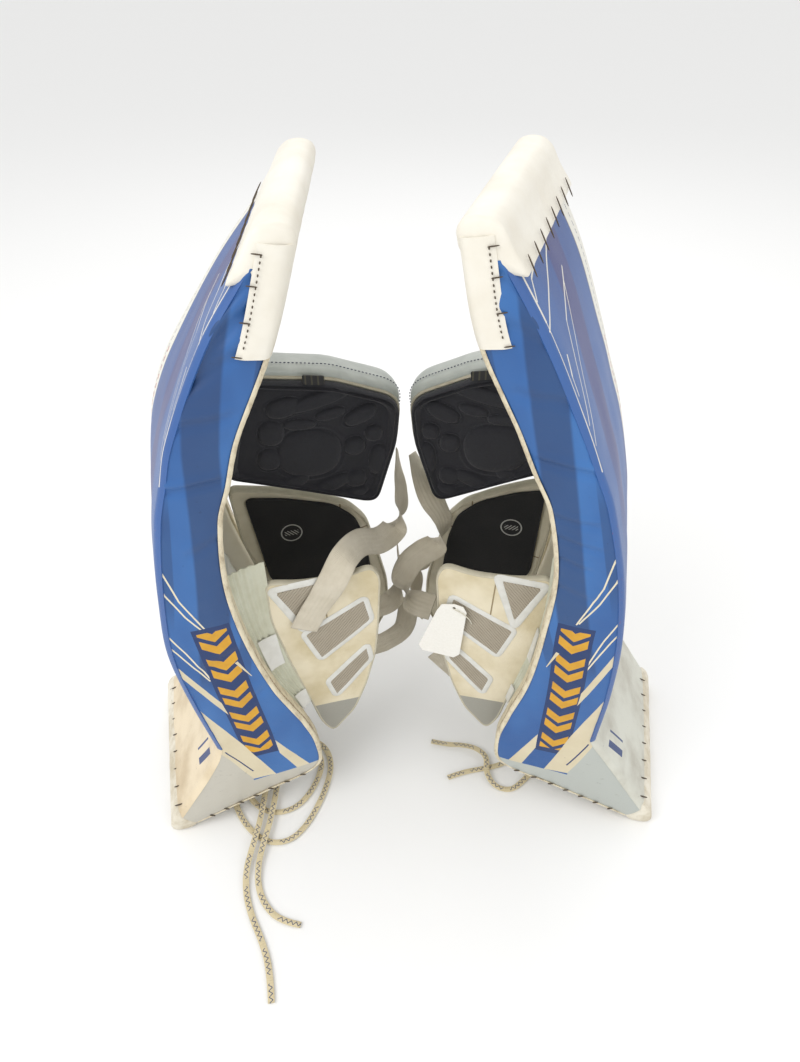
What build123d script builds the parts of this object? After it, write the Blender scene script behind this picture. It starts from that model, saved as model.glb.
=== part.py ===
"""A pair of ice hockey goalie leg pads, standing on their toes and leaning together at the knees.

Millimetres, +Z up. The two pads stand either side of the plane X = 0, fronts facing out.
Each pad is described in its own terms: u runs forward past the toe, w runs across the pad
from the outer side (w = 0) to the inner side (w = PAD_WIDTH), and z is height.
"""
from build123d import *
import os
from math import cos, radians, sin, tan

os.makedirs("parts", exist_ok=True)

# Driving dimensions of a pad
PAD_WIDTH = 280.0          # eleven inches, the widest pad the rules allow
YAW = 13.0                 # each pad is turned this far towards the viewer
TOE_X, TOE_Y = 364.0, -172.5   # the outer toe corner of the right pad, mirrored for the left
THIGH_TWIST = {"right": -5.0, "left": -13.0}   # how far each soft thigh has turned about Z
WALL = 24.0                # padded side walls
FACE = 3.0                 # leather face over the foam
BOARD = 2.0                # plastic stiffening board under the face
GAP = 0.3                  # clearance between separate pieces
PIPING = 12.0              # width of the bound edge
PIPING_THICK = 4.0

# Straps, laces and tag
STRAP_THICK = 2.0
STRAP_WIDTH = 38.0
LACE_WIDTH = 9.0
STRING_WIDTH = 1.6

# Sections across a pad, each as (front u, front z), (back u, back z), share of the thigh twist,
# and how far this pair's left and right pads bow forward of that
SHIN = [
    ((-103, 179), (-228, 207), 0.0, (10, -2)),
    ((-94, 280), (-204, 288), 0.0, (18, -5)),
    ((-89, 383), (-186, 388), 0.0, (24, -12)),
    ((-102, 485), (-181, 485), 0.0, (29, -13)),
    ((-128, 588), (-198, 582), 0.0, (38, -13)),
    ((-148.4, 639.4), (-217, 625), 0.08, (41, -12.5)),
]
THIGH = [
    ((-148.8, 640.4), (-221, 635.5), 0.08, (41, -12.5)),
    ((-170, 690), (-241, 684), 0.3, (39, -11)),
    ((-220, 792), (-286, 782), 0.7, (25, -7)),
    ((-272, 880), (-305, 875), 0.95, (6, -5)),
]
CAP = [
    ((-272.2, 880.6), (-305.2, 875.6), 0.95, (6, -5)),
    ((-279, 893), (-307, 888), 1.0, (5, -5)),
]
BOOT = [
    ((-103.5, 178), (-229, 192), 0.0, (10, -2)),
    ((-98, 169), (-241, 150), 0.0, (8, -1)),
    ((-88, 154), (-234, 95), 0.0, (4, 0)),
    ((-64, 118), (-160, 62), 0.0, (0, 0)),
    ((-38, 77), (-94, 35.5), 0.0, (0, 0)),
    ((-14, 40), (-38, 12.8), 0.0, (0, 0)),
]
BOW_FADE = 130.0           # a piece on the pad's back follows the bow less, this far behind it

SIDES = {"right": 1, "left": -1}


def spot(side, u, w, z, twist=0.0):
    """A point of a pad in the shared frame; a twist turns it about the pad's mid-width line."""
    turn = radians(YAW)
    mid = PAD_WIDTH / 2
    mirrored = SIDES[side]
    base_x = mirrored * (TOE_X + u * cos(turn) + mid * sin(turn))
    base_y = TOE_Y - u * sin(turn) + mid * cos(turn)
    heading = radians(90 - YAW * mirrored + twist)
    return Vector(base_x + (w - mid) * cos(heading), base_y + (w - mid) * sin(heading), z)


def section_plane(side, section):
    """The plane of a section: its x runs from front to back and its y across the pad."""
    (front_u, front_z), (back_u, back_z), share, bows = section
    twist = THIGH_TWIST[side] * share
    bow = bows[0 if side == "left" else 1]
    front = spot(side, front_u + bow, 0, front_z, twist)
    back = spot(side, back_u + bow, 0, back_z, twist)
    across = spot(side, front_u + bow, PAD_WIDTH, front_z, twist) - front
    depth = back - front
    return Plane(origin=front, x_dir=depth, z_dir=depth.cross(across)), depth.length


def with_bow(side, outline):
    """An outline on the pad's back, moved with the bow there, and less so further behind."""
    sections = SHIN + THIGH[1:]
    moved = []
    for u, z in outline:
        for low, high in zip(sections, sections[1:]):
            if low[1][1] <= z <= high[1][1] or high is sections[-1] or z < sections[0][1][1]:
                break
        share = min(max((z - low[1][1]) / (high[1][1] - low[1][1]), 0), 1)
        number = 0 if side == "left" else 1
        bow = low[3][number] + (high[3][number] - low[3][number]) * share
        back = low[1][0] + (high[1][0] - low[1][0]) * share
        moved.append((u + bow * min(max(1 - (back - u) / BOW_FADE, 0), 1), z))
    return moved


def across_plane(side, w):
    """The upright plane at width w: x runs forward and y up, for outlines in u and z."""
    forward = (spot(side, 1, w, 0) - spot(side, 0, w, 0))
    return Plane(origin=spot(side, 0, w, 0), x_dir=forward, z_dir=forward.cross(Vector(0, 0, 1)))


def band(side, sections, near, far, w_low, w_high):
    """A layer that runs through the sections, between two depths and two widths.

    near and far take a section's full depth and give the layer's own depths from the front.
    """
    with BuildPart() as layer:
        for section in sections:
            plane, depth = section_plane(side, section)
            low, high = near(depth), far(depth)
            with BuildSketch(plane):
                with Locations(((low + high) / 2, (w_low + w_high) / 2)):
                    Rectangle(high - low, w_high - w_low)
        loft(ruled=True)
    return layer


def plate(side, outline, w_low, w_high, rounding=0.0):
    """A flat piece with an outline in u and z, from one width to another."""
    start = w_high if side == "right" else w_low
    with BuildPart() as piece:
        with BuildSketch(across_plane(side, start)) as face:
            with BuildLine():
                Polyline(*outline, close=True)
            make_face()
            if rounding:
                fillet(face.vertices(), rounding)
        extrude(amount=w_high - w_low)
    return piece


def save(piece, name):
    piece.part.label = name
    export_step(piece.part, f"parts/{name}.step")


def joined(*pieces):
    """Pieces sewn together into one, or laid side by side in one node."""
    with BuildPart() as group:
        for piece in pieces:
            add(piece.part)
    return group


def front_line(offset):
    return lambda depth: offset


def back_line(offset):
    return lambda depth: depth + offset


# --- The padded slab of each pad: shin, thigh and boot -------------------------------------
INNER_EDGE = PAD_WIDTH - WALL
CORE_LOW, CORE_HIGH = WALL + GAP, INNER_EDGE - GAP
CHANNEL = 30.0             # how deep the leg channel lies between the side walls
BOOT_CHANNEL = 14.0
BOARD_FRONT = FACE + GAP
CORE_FRONT = BOARD_FRONT + BOARD + GAP
UNDER_FACE = FACE + GAP

for side in SIDES:
    for part_name, sections, channel in (("shin", SHIN, CHANNEL), ("thigh", THIGH, CHANNEL * 0.4),
                                         ("boot", BOOT, BOOT_CHANNEL)):
        has_board = part_name == "shin"
        core_front = CORE_FRONT if has_board else UNDER_FACE
        core = band(side, sections, front_line(core_front), back_line(-channel), CORE_LOW, CORE_HIGH)
        save(core, f"{side}_{part_name}_core")
        face = band(side, sections, front_line(0), front_line(FACE), 0, PAD_WIDTH)
        save(face, f"{side}_{part_name}_face")
        outer = band(side, sections, front_line(UNDER_FACE), back_line(0), 0, WALL)
        save(outer, f"{side}_{part_name}_outer_wall")
        inner = band(side, sections, front_line(UNDER_FACE), back_line(0), INNER_EDGE, PAD_WIDTH)
        save(inner, f"{side}_{part_name}_inner_wall")
    board = band(side, SHIN[:-1], front_line(BOARD_FRONT), front_line(BOARD_FRONT + BOARD),
                 CORE_LOW, CORE_HIGH)
    save(board, f"{side}_shin_board")

# --- Leather cap over the top end, with a tab that runs down the outer back corner ----------
CAP_OVER = 2.0
CAP_TAB_WIDTH = 28.0
CAP_TAB = [THIGH[2], THIGH[3], CAP[1]]
for side in SIDES:
    roll = band(side, CAP, front_line(-CAP_OVER), back_line(CAP_OVER), -CAP_OVER - GAP, PAD_WIDTH + CAP_OVER)
    tab = band(side, CAP_TAB, back_line(-CAP_TAB_WIDTH), back_line(0), -CAP_OVER - GAP, -GAP)
    save(joined(roll, tab), f"{side}_top_cap")

# --- Bound back edges of the outer and inner walls ------------------------------------------
for side in SIDES:
    edges = [band(side, SHIN[:-1], back_line(GAP), back_line(PIPING_THICK), low, low + PIPING)
             for low in (-1.0, PAD_WIDTH + 1.0 - PIPING)]
    save(joined(*edges), f"{side}_edge_binding")

# --- Toe end: rounded binding that the pad stands on, and the bridge under the boot ---------
TOE_OUTLINE = [(-13.5, 40.4), (-4, 30), (2, 17), (1, 6), (-4, 0), (-28, 0), (-37.9, 12.3)]
BRIDGE_LOW, BRIDGE_HIGH = 90.0, 190.0
for side in SIDES:
    save(plate(side, TOE_OUTLINE, -CAP_OVER, PAD_WIDTH + CAP_OVER), f"{side}_toe_binding")
    bridge = band(side, BOOT[3:5], back_line(1.0), back_line(5.0), BRIDGE_LOW, BRIDGE_HIGH)
    save(bridge, f"{side}_toe_bridge")

# --- Knee block and its padded landing ------------------------------------------------------
KNEE_BLOCK = [(-240, 668), (-330, 648), (-402, 614), (-416, 596), (-408, 526), (-378, 436), (-362, 431),
              (-192, 506)]
KNEE_CUSHION = [(-240, 653), (-330, 632), (-397, 600), (-409, 584), (-404, 530), (-376, 440), (-362, 436),
                (-196, 511)]
KNEE_LOW, KNEE_HIGH = 194.0, 246.0
CUSHION_LOW = 178.0
for side in SIDES:
    save(plate(side, with_bow(side, KNEE_BLOCK), KNEE_LOW, KNEE_HIGH, 5.0), f"{side}_knee_block")
    save(plate(side, with_bow(side, KNEE_CUSHION), CUSHION_LOW, KNEE_LOW - GAP, 5.0), f"{side}_knee_cushion")

# --- Inner calf wing with its dark liner -----------------------------------------------------
WING = [(-193, 474), (-240, 461), (-285, 443), (-334, 417), (-360, 384), (-372, 331), (-388, 255),
        (-390, 190), (-362, 132), (-305, 112), (-250, 150), (-232, 215), (-213, 290), (-196, 380)]
WING_LINER = [(-208, 458), (-253, 448), (-312, 424), (-343, 394), (-356, 350), (-364, 277), (-372, 200),
              (-320, 190), (-222, 296)]
WING_LOW, WING_HIGH = 207.0, 225.0
LINER_THICK = 4.0
for side in SIDES:
    save(plate(side, with_bow(side, WING), WING_LOW, WING_HIGH, 4.0), f"{side}_inner_wing")
    save(plate(side, with_bow(side, WING_LINER), WING_LOW - LINER_THICK, WING_LOW, 4.0), f"{side}_calf_liner")

# --- Outer calf wrap, its hook patches and the gusset that joins it to the outer wall -------
FLAP = [(-196, 448), (-240, 438), (-298, 437), (-334, 446), (-345, 425), (-340, 340), (-334, 280),
        (-318, 218), (-298, 165), (-262, 122), (-246, 150), (-233, 210), (-213, 290), (-196, 380)]
PATCHES = [
    [(-208, 428), (-258, 434), (-238, 365)],
    [(-236, 345), (-322, 392), (-330, 350), (-256, 290)],
    [(-262, 240), (-322, 300), (-326, 270), (-272, 205)],
]
FLAP_LOW, FLAP_HIGH = 36.0, 44.0
PATCH_THICK = 1.6
GUSSET_LOW = 11.5
GUSSET_THICK = 3.2
GUSSET_DEPTH = 24.0        # the left pad bows away from its wrap, so its gusset is deeper
for side in SIDES:
    save(plate(side, FLAP, FLAP_LOW, FLAP_HIGH, 3.0), f"{side}_calf_wrap")
    patches = [plate(side, shape, FLAP_LOW - PATCH_THICK, FLAP_LOW, 2.0) for shape in PATCHES]
    save(joined(*patches), f"{side}_hook_patches")
    gusset = band(side, SHIN[:4], back_line(GAP), back_line(PIPING_THICK - 0.5), GUSSET_LOW,
                  FLAP_LOW - PATCH_THICK)
    if side == "left":
        deep = band(side, SHIN[:4], back_line(PIPING_THICK - 0.5), back_line(GUSSET_DEPTH),
                    FLAP_LOW - PATCH_THICK - GUSSET_THICK, FLAP_LOW - PATCH_THICK)
        gusset = joined(gusset, deep)
    save(gusset, f"{side}_gusset")


# --- Elastic straps, each a flat band through stations of place and width direction ---------
def ribbon(stations, width):
    with BuildPart() as strap:
        for number, (place, across) in enumerate(stations):
            before = Vector(*stations[max(number - 1, 0)][0])
            after = Vector(*stations[min(number + 1, len(stations) - 1)][0])
            run = (after - before).normalized()
            wide = Vector(*across)
            wide = (wide - run * wide.dot(run)).normalized()
            with BuildSketch(Plane(origin=Vector(*place), x_dir=wide, z_dir=run)):
                Rectangle(width, STRAP_THICK)
        loft(ruled=True)
    return strap


LEFT_KNEE_STRAP = [
    ((-12, 138, 490), (0, 1, 0)), ((-10, 118, 468), (0.1, 1, 0.1)), ((-7, 98, 447), (0.2, 1, 0.1)),
    ((-8, 76, 426), (0.3, 0.9, 0.1)), ((-18, 54, 412), (0.3, 0.9, 0.2)), ((-38, 22, 418), (0.1, 1, 0.3)),
    ((-62, -20, 450), (-0.3, 0.7, 0.6)), ((-80, -66, 466), (-0.7, 0.2, 0.6)),
    ((-95, -84, 444), (-0.87, -0.2, 0.46)),
    ((-110, -84, 414), (-0.87, -0.2, 0.46)), ((-125.5, -87, 388), (-0.87, -0.2, 0.46)),
    ((-139.5, -91, 360), (-0.87, -0.2, 0.46)),
]
RIGHT_KNEE_STRAP = [
    ((10, 142, 480), (0.1, 1, 0)), ((24, 122, 446), (0.6, 0.8, 0)), ((40, 102, 420), (0.75, 0.6, 0.3)),
    ((54, 82, 398), (0.6, 0.7, 0)), ((46, 64, 374), (0.1, 0.8, 0.5)), ((22, 52, 366), (0, 0.7, 0.6)),
    ((2, 40, 354), (-0.3, 0.7, 0.6)), ((-8, 26, 332), (-0.6, 0.7, 0.3)), ((6, 12, 310), (-0.2, 0.8, 0.6)),
    ((36, 0, 304), (0, 0.6, 0.8)),
]
save(ribbon(LEFT_KNEE_STRAP, STRAP_WIDTH), "left_knee_strap")
save(ribbon(RIGHT_KNEE_STRAP, STRAP_WIDTH), "right_knee_strap")

LEFT_CALF_UPPER = [
    ((-62, 30, 284), (0, 0.4, 1)), ((-44, 36, 272), (0, 0.4, 1)), ((-22, 50, 276), (0, 0.5, 1)),
    ((-12, 76, 306), (0, 0.9, 0.5)), ((-14, 110, 330), (0, 0.9, -0.4)),
]
LEFT_CALF_LOWER = [
    ((-96, 16, 160), (0.5, 0.3, 1)), ((-66, 20, 196), (0.5, 0.3, 1)), ((-34, 28, 204), (0.2, 0.4, 1)),
    ((-6, 46, 216), (-0.3, 0.5, 1)), ((2, 76, 250), (-0.5, 0.9, 0.5)),
]
RIGHT_CALF_UPPER = [
    ((26, 24, 262), (-0.2, 0.4, 1)), ((14, 46, 276), (0, 0.4, 1)), ((16, 76, 306), (0.2, 0.6, 0.8)),
    ((30, 110, 330), (0.2, 0.9, 0.3)),
]
RIGHT_CALF_LOWER = [
    ((42, 26, 178), (-0.4, 0.3, 1)), ((72, 14, 150), (-0.5, 0.3, 1)), ((104, 2, 122), (-0.5, 0.3, 1)),
]
CALF_STRAP_WIDTH = 32.0
for side, upper, lower in (("left", LEFT_CALF_UPPER, LEFT_CALF_LOWER),
                           ("right", RIGHT_CALF_UPPER, RIGHT_CALF_LOWER)):
    save(joined(ribbon(upper, CALF_STRAP_WIDTH), ribbon(lower, CALF_STRAP_WIDTH)), f"{side}_calf_straps")


# --- Laces that tie the boots to the toes, lying on the floor --------------------------------
def cord(route, width, name):
    """A round tube along straight runs joined by tangent arcs, each as large as its runs allow."""
    points = [Vector(*p) for p in route]
    radii = []
    for before, corner, after in zip(points, points[1:], points[2:]):
        first, second = corner - before, after - corner
        turn = radians(first.get_angle(second))
        radii.append(0.45 * min(first.length, second.length) / tan(turn / 2))
    with BuildPart() as tube:
        with BuildLine() as path:
            FilletPolyline(*points, radius=radii)
        with BuildSketch(Plane(origin=points[0], z_dir=points[1] - points[0])):
            Circle(width / 2)
        sweep(path=path.wires()[0])
    length = path.wires()[0].length
    full = length * Circle(width / 2, mode=Mode.PRIVATE).area
    print(name, "length", round(length), "tube/ideal", round(tube.part.volume / full, 4),
          "smallest radius", round(min(radii), 1), "radii", [round(r) for r in radii])
    save(tube, name)


LEFT_LACE_OUTER = [
    (-290, -52, 27), (-288, -82, 17), (-282, -114, 8), (-268, -148, 5), (-244, -178, 5), (-214, -196, 5),
    (-184, -192, 5), (-162, -168, 5), (-146, -134, 5), (-134, -98, 5), (-128, -58, 5), (-142, -22, 5),
    (-176, -6, 6), (-210, -20, 9), (-226, -54, 14), (-230, -92, 22), (-231, -128, 25), (-233, -166, 25),
    (-239, -204, 22), (-245, -238, 12), (-241, -272, 5), (-228, -306, 5), (-209, -340, 5), (-194, -378, 5),
    (-188, -417, 5),
]
LEFT_LACE_INNER = [
    (-276, -50, 33), (-273, -80, 21), (-262, -110, 9), (-240, -136, 5), (-210, -147, 5), (-180, -137, 5),
    (-160, -112, 5), (-148, -82, 5), (-144, -56, 5), (-154, -33, 6), (-177, -24, 8), (-200, -34, 11),
    (-210, -58, 15), (-213, -90, 22), (-214, -126, 25), (-217, -162, 25), (-223, -198, 23),
    (-228, -230, 13), (-225, -262, 5), (-210, -292, 5), (-186, -312, 5), (-158, -318, 5),
]
RIGHT_LACE_OUTER = [
    (262, -50, 37), (244, -54, 26), (224, -62, 14), (202, -76, 6), (182, -96, 5), (160, -114, 5),
    (134, -108, 10), (122, -84, 17), (127, -56, 19), (112, -36, 12), (88, -26, 5), (62, -25, 5),
    (37, -18, 5),
]
RIGHT_LACE_INNER = [
    (256, -20, 40), (238, -24, 28), (216, -32, 15), (192, -44, 7), (166, -58, 5), (138, -69, 5),
    (110, -74, 5), (84, -79, 5), (61, -88, 5),
]
cord(LEFT_LACE_OUTER, LACE_WIDTH, "left_lace_outer")
cord(LEFT_LACE_INNER, LACE_WIDTH, "left_lace_inner")
cord(RIGHT_LACE_OUTER, LACE_WIDTH, "right_lace_outer")
cord(RIGHT_LACE_INNER, LACE_WIDTH, "right_lace_inner")

# --- Blank card tag and its string on the right calf wrap ------------------------------------
TAG_OUTLINE = [(-318, 385), (-335, 382), (-341, 370), (-366, 296), (-361, 286), (-316, 280), (-308, 288),
               (-301, 372), (-306, 382)]
TAG_LOW, TAG_HIGH = 28.0, 29.0
TAG_HOLE = (-318, 378)
TAG_HOLE_RADIUS = 2.2
with BuildPart() as tag:
    add(plate("right", TAG_OUTLINE, TAG_LOW, TAG_HIGH, 3.0).part)
    with BuildSketch(across_plane("right", TAG_HIGH)):
        with Locations(TAG_HOLE):
            Circle(TAG_HOLE_RADIUS)
    extrude(amount=TAG_HIGH - TAG_LOW, mode=Mode.SUBTRACT)
save(tag, "hang_tag")

STRING_ROUTE = [(-294, 33, 348), (-295, 29.5, 356), (-299, 26.8, 365), (-308, 26.4, 373), (-319, 26.9, 378)]
cord([tuple(spot("right", u, w, z)) for u, w, z in STRING_ROUTE], STRING_WIDTH, "tag_string")
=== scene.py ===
"""A pair of goalie leg pads: the looks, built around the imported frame.

Metres, Z up. A pad's own terms (forward, across and up) are in millimetres, as spot() takes them.
"""
from math import cos, exp, hypot, pi, radians, sin

import bpy
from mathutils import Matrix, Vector, noise


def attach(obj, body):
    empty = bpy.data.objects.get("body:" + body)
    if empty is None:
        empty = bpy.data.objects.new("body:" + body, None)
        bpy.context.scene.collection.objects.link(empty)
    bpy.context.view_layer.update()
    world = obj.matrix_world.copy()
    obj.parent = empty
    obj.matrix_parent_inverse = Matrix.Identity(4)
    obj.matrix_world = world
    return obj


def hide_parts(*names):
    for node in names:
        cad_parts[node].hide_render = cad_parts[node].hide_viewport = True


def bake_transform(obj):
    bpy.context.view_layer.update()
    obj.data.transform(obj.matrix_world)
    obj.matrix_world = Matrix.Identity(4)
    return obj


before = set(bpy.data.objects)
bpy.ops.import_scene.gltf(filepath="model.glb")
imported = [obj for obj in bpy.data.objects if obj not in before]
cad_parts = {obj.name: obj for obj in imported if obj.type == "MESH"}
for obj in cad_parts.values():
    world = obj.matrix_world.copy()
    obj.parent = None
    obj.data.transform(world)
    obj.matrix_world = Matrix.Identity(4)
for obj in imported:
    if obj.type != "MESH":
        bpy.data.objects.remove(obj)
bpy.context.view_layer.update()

# --- Camera, lights and floor ---------------------------------------------------------------
# The pads are seen from standing height, looking down on them, in soft even room light.
CAMERA_PLACE = (-0.0097, -0.8195, 1.142)
CAMERA_TILT, CAMERA_ROLL = 49.9, -1.0      # degrees
LENS_MM = 27.1

bpy.ops.object.select_all(action="DESELECT")
bpy.ops.object.camera_add(location=CAMERA_PLACE, rotation=(radians(CAMERA_TILT), 0, 0))
camera = bpy.context.object
camera.name = "camera"
camera.rotation_euler.rotate_axis("Z", radians(CAMERA_ROLL))
camera.data.lens = LENS_MM
bpy.context.scene.camera = camera
bpy.context.scene.view_settings.view_transform = "Standard"

bpy.ops.mesh.primitive_plane_add(size=40, location=(0, 0, -0.001))
floor = bpy.context.object
floor.name = "floor"

for name, place, size, power, aim in (
        ("key_light", (-1.6, -1.4, 2.6), 1.8, 36, (0, 0, 0.4)),
        ("fill_light", (1.8, -1.6, 1.9), 2.2, 12, (0, 0, 0.4)),
        ("back_light", (0.3, 2.0, 2.4), 2.0, 14, (0, 0, 0.5))):
    bpy.ops.object.light_add(type="AREA", location=place)
    lamp = bpy.context.object
    lamp.name = name
    lamp.data.size = size
    lamp.data.energy = power
    lamp.rotation_euler = (Vector(aim) - Vector(place)).to_track_quat("-Z", "Y").to_euler()

room = bpy.data.worlds.new("room")
bpy.context.scene.world = room
room.use_nodes = True
room.node_tree.nodes["Background"].inputs["Color"].default_value = (1, 1, 1, 1)
room.node_tree.nodes["Background"].inputs["Strength"].default_value = 0.9


class Wire:
    """One socket of a shader tree, so that shader maths reads as plain expressions."""

    def __init__(self, tree, socket):
        self.tree, self.socket = tree, socket

    def maths(self, operation, *others, swap=False):
        node = self.tree.nodes.new("ShaderNodeMath")
        node.operation = operation
        terms = list(reversed((self, *others))) if swap else [self, *others]
        for place, term in enumerate(terms):
            if isinstance(term, Wire):
                self.tree.links.new(term.socket, node.inputs[place])
            else:
                node.inputs[place].default_value = term
        return Wire(self.tree, node.outputs[0])

    def __add__(self, other): return self.maths("ADD", other)
    __radd__ = __add__
    def __mul__(self, other): return self.maths("MULTIPLY", other)
    __rmul__ = __mul__
    def __sub__(self, other): return self.maths("SUBTRACT", other)
    def __rsub__(self, other): return self.maths("SUBTRACT", other, swap=True)
    def __gt__(self, other): return self.maths("GREATER_THAN", other)
    def __lt__(self, other): return self.maths("LESS_THAN", other)
    def __abs__(self): return self.maths("ABSOLUTE")
    def __mod__(self, other): return self.maths("FLOORED_MODULO", other)
    def __or__(self, other): return self.maths("MAXIMUM", other)
    def __and__(self, other): return self.maths("MINIMUM", other)


def rgb(red, green, blue):
    """A colour given in display values from 0 to 255, as the linear values the shader takes."""
    linear = [((v / 255 + 0.055) / 1.055) ** 2.4 if v > 10 else v / 3294 for v in (red, green, blue)]
    return (*linear, 1.0)


class Finish:
    """A material on one shader, with a method that adds any node."""

    def __init__(self, name, **sockets):
        self.material = bpy.data.materials.new(name)
        self.material.use_nodes = True
        self.tree = self.material.node_tree
        self.shader = self.tree.nodes["Principled BSDF"]
        self.set(**sockets)

    def set(self, **sockets):
        for key, value in sockets.items():
            self.plug(self.shader.inputs[key.replace("_", " ")], value)

    def plug(self, socket, value):
        if isinstance(value, Wire):
            self.tree.links.new(value.socket, socket)
        else:
            socket.default_value = value

    def node(self, kind, settings=None, out=0, **sockets):
        node = self.tree.nodes.new("ShaderNode" + kind)
        for key, value in (settings or {}).items():
            setattr(node, key, value)
        for key, value in sockets.items():
            found = [s for s in node.inputs if s.name == key.replace("_", " ") and s.enabled]
            self.plug(found[0], value)
        return Wire(self.tree, node.outputs[out])

    def place(self):
        return self.node("TexCoord", out=3)

    def cloth(self):
        """The two lengths of the piece's own map, in metres."""
        split = self.node("SeparateXYZ", Vector=self.node("TexCoord", out=2))
        return split, Wire(self.tree, split.socket.node.outputs[1])

    def stretched(self, coords, scale, turn=(0, 0, 0)):
        return self.node("Mapping", Vector=coords, Scale=scale, Rotation=turn)

    def noise(self, coords, scale, detail=3.0, rough=0.55):
        return self.node("TexNoise", Vector=coords, Scale=scale, Detail=detail, Roughness=rough)

    def ramp(self, value, low, high):
        kind = {"interpolation_type": "SMOOTHSTEP"}
        return self.node("MapRange", kind, Value=value, From_Min=low, From_Max=high)

    def mix(self, share, first, second):
        node = self.tree.nodes.new("ShaderNodeMix")
        node.data_type = "RGBA"
        for place, value in ((0, share), (6, first), (7, second)):
            self.plug(node.inputs[place], value)
        return Wire(self.tree, node.outputs[2])

    def bump(self, height, strength, distance=0.001, under=None):
        extra = {"Normal": under} if under else {}
        return self.node("Bump", Height=height, Strength=strength, Distance=distance, **extra)

    def line(self, x, y, start, end, width, taper=1.0):
        """A mask of a straight stroke between two points of the map; taper scales its far end."""
        run = Vector((end[0] - start[0], end[1] - start[1]))
        along = run.normalized()
        t = (x - start[0]) * along.x + (y - start[1]) * along.y
        off = abs((x - start[0]) * -along.y + (y - start[1]) * along.x)
        half = (t * ((taper - 1) / run.length) + 1) * (width / 2)
        return (off < half) & ((t > 0) & (t < run.length))

    def streak(self, x, y, start, end, width):
        """A soft-edged band along the line through two points, fading out past them."""
        run = Vector((end[0] - start[0], end[1] - start[1]))
        along = run.normalized()
        t = (x - start[0]) * along.x + (y - start[1]) * along.y
        off = abs((x - start[0]) * -along.y + (y - start[1]) * along.x)
        ends = self.ramp(t, -.01, .05) * self.ramp(t, run.length + .01, run.length - .06)
        return self.ramp(off, width * 0.56, width * 0.44) * ends

    def region(self, x, y, outline):
        """A mask of a convex outline of the map, its corners listed in turn."""
        area = sum(a[0] * b[1] - b[0] * a[1] for a, b in zip(outline, outline[1:] + outline[:1]))
        turn = 1 if area > 0 else -1
        mask = None
        for a, b in zip(outline, outline[1:] + outline[:1]):
            side = ((x - a[0]) * -(b[1] - a[1]) + (y - a[1]) * (b[0] - a[0])) * turn
            inside = side > 0
            mask = inside if mask is None else mask & inside
        return mask


floor_finish = Finish("pale_floor", Base_Color=rgb(243, 243, 242), Roughness=0.9)
floor.data.materials.append(floor_finish.material)


# --- Toe laces ------------------------------------------------------------------------------
# Flat braided cotton laces, 9 mm wide, with a line of navy tracer threads. Each half comes out
# from under the toe bridge, turns behind the boot and ends in a bare tail on the floor.
LACE_WIDTH, LACE_THICK = 0.009, 0.0022
WELD = 0.00002                                 # corners closer than this are one
LACES = {
    "left_lace_outer": [
        (-.290, -.052, .027), (-.288, -.082, .017), (-.282, -.114, .008), (-.268, -.148, .003),
        (-.244, -.178, .003), (-.214, -.196, .003), (-.184, -.192, .003), (-.162, -.168, .003),
        (-.146, -.134, .003), (-.134, -.098, .003), (-.128, -.058, .003), (-.142, -.022, .003),
        (-.176, -.006, .004), (-.210, -.020, .005), (-.226, -.054, .007), (-.230, -.092, .010),
        (-.231, -.128, .011), (-.233, -.166, .011), (-.239, -.204, .011), (-.245, -.238, .006),
        (-.241, -.272, .003), (-.228, -.306, .003), (-.209, -.340, .003), (-.194, -.378, .003),
        (-.188, -.417, .003)],
    "left_lace_inner": [
        (-.276, -.050, .033), (-.273, -.080, .021), (-.262, -.110, .009), (-.240, -.136, .003),
        (-.210, -.147, .003), (-.180, -.137, .003), (-.160, -.112, .003), (-.148, -.082, .003),
        (-.144, -.056, .003), (-.154, -.033, .004), (-.177, -.024, .005), (-.200, -.034, .006),
        (-.210, -.058, .008), (-.213, -.090, .010), (-.214, -.126, .011), (-.217, -.162, .011),
        (-.223, -.198, .011), (-.228, -.230, .007), (-.225, -.262, .003), (-.210, -.292, .003),
        (-.186, -.312, .003), (-.158, -.318, .003)],
    "right_lace_outer": [
        (.262, -.050, .037), (.244, -.054, .026), (.224, -.062, .014), (.202, -.076, .006),
        (.182, -.096, .003), (.160, -.114, .003), (.134, -.108, .006), (.122, -.084, .010),
        (.127, -.056, .011), (.112, -.036, .007), (.088, -.026, .003), (.062, -.025, .003),
        (.037, -.018, .003)],
    "right_lace_inner": [
        (.256, -.020, .040), (.238, -.024, .028), (.216, -.032, .015), (.192, -.044, .006),
        (.166, -.058, .003), (.138, -.069, .003), (.110, -.074, .003), (.084, -.079, .003),
        (.061, -.088, .003)],
}


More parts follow.
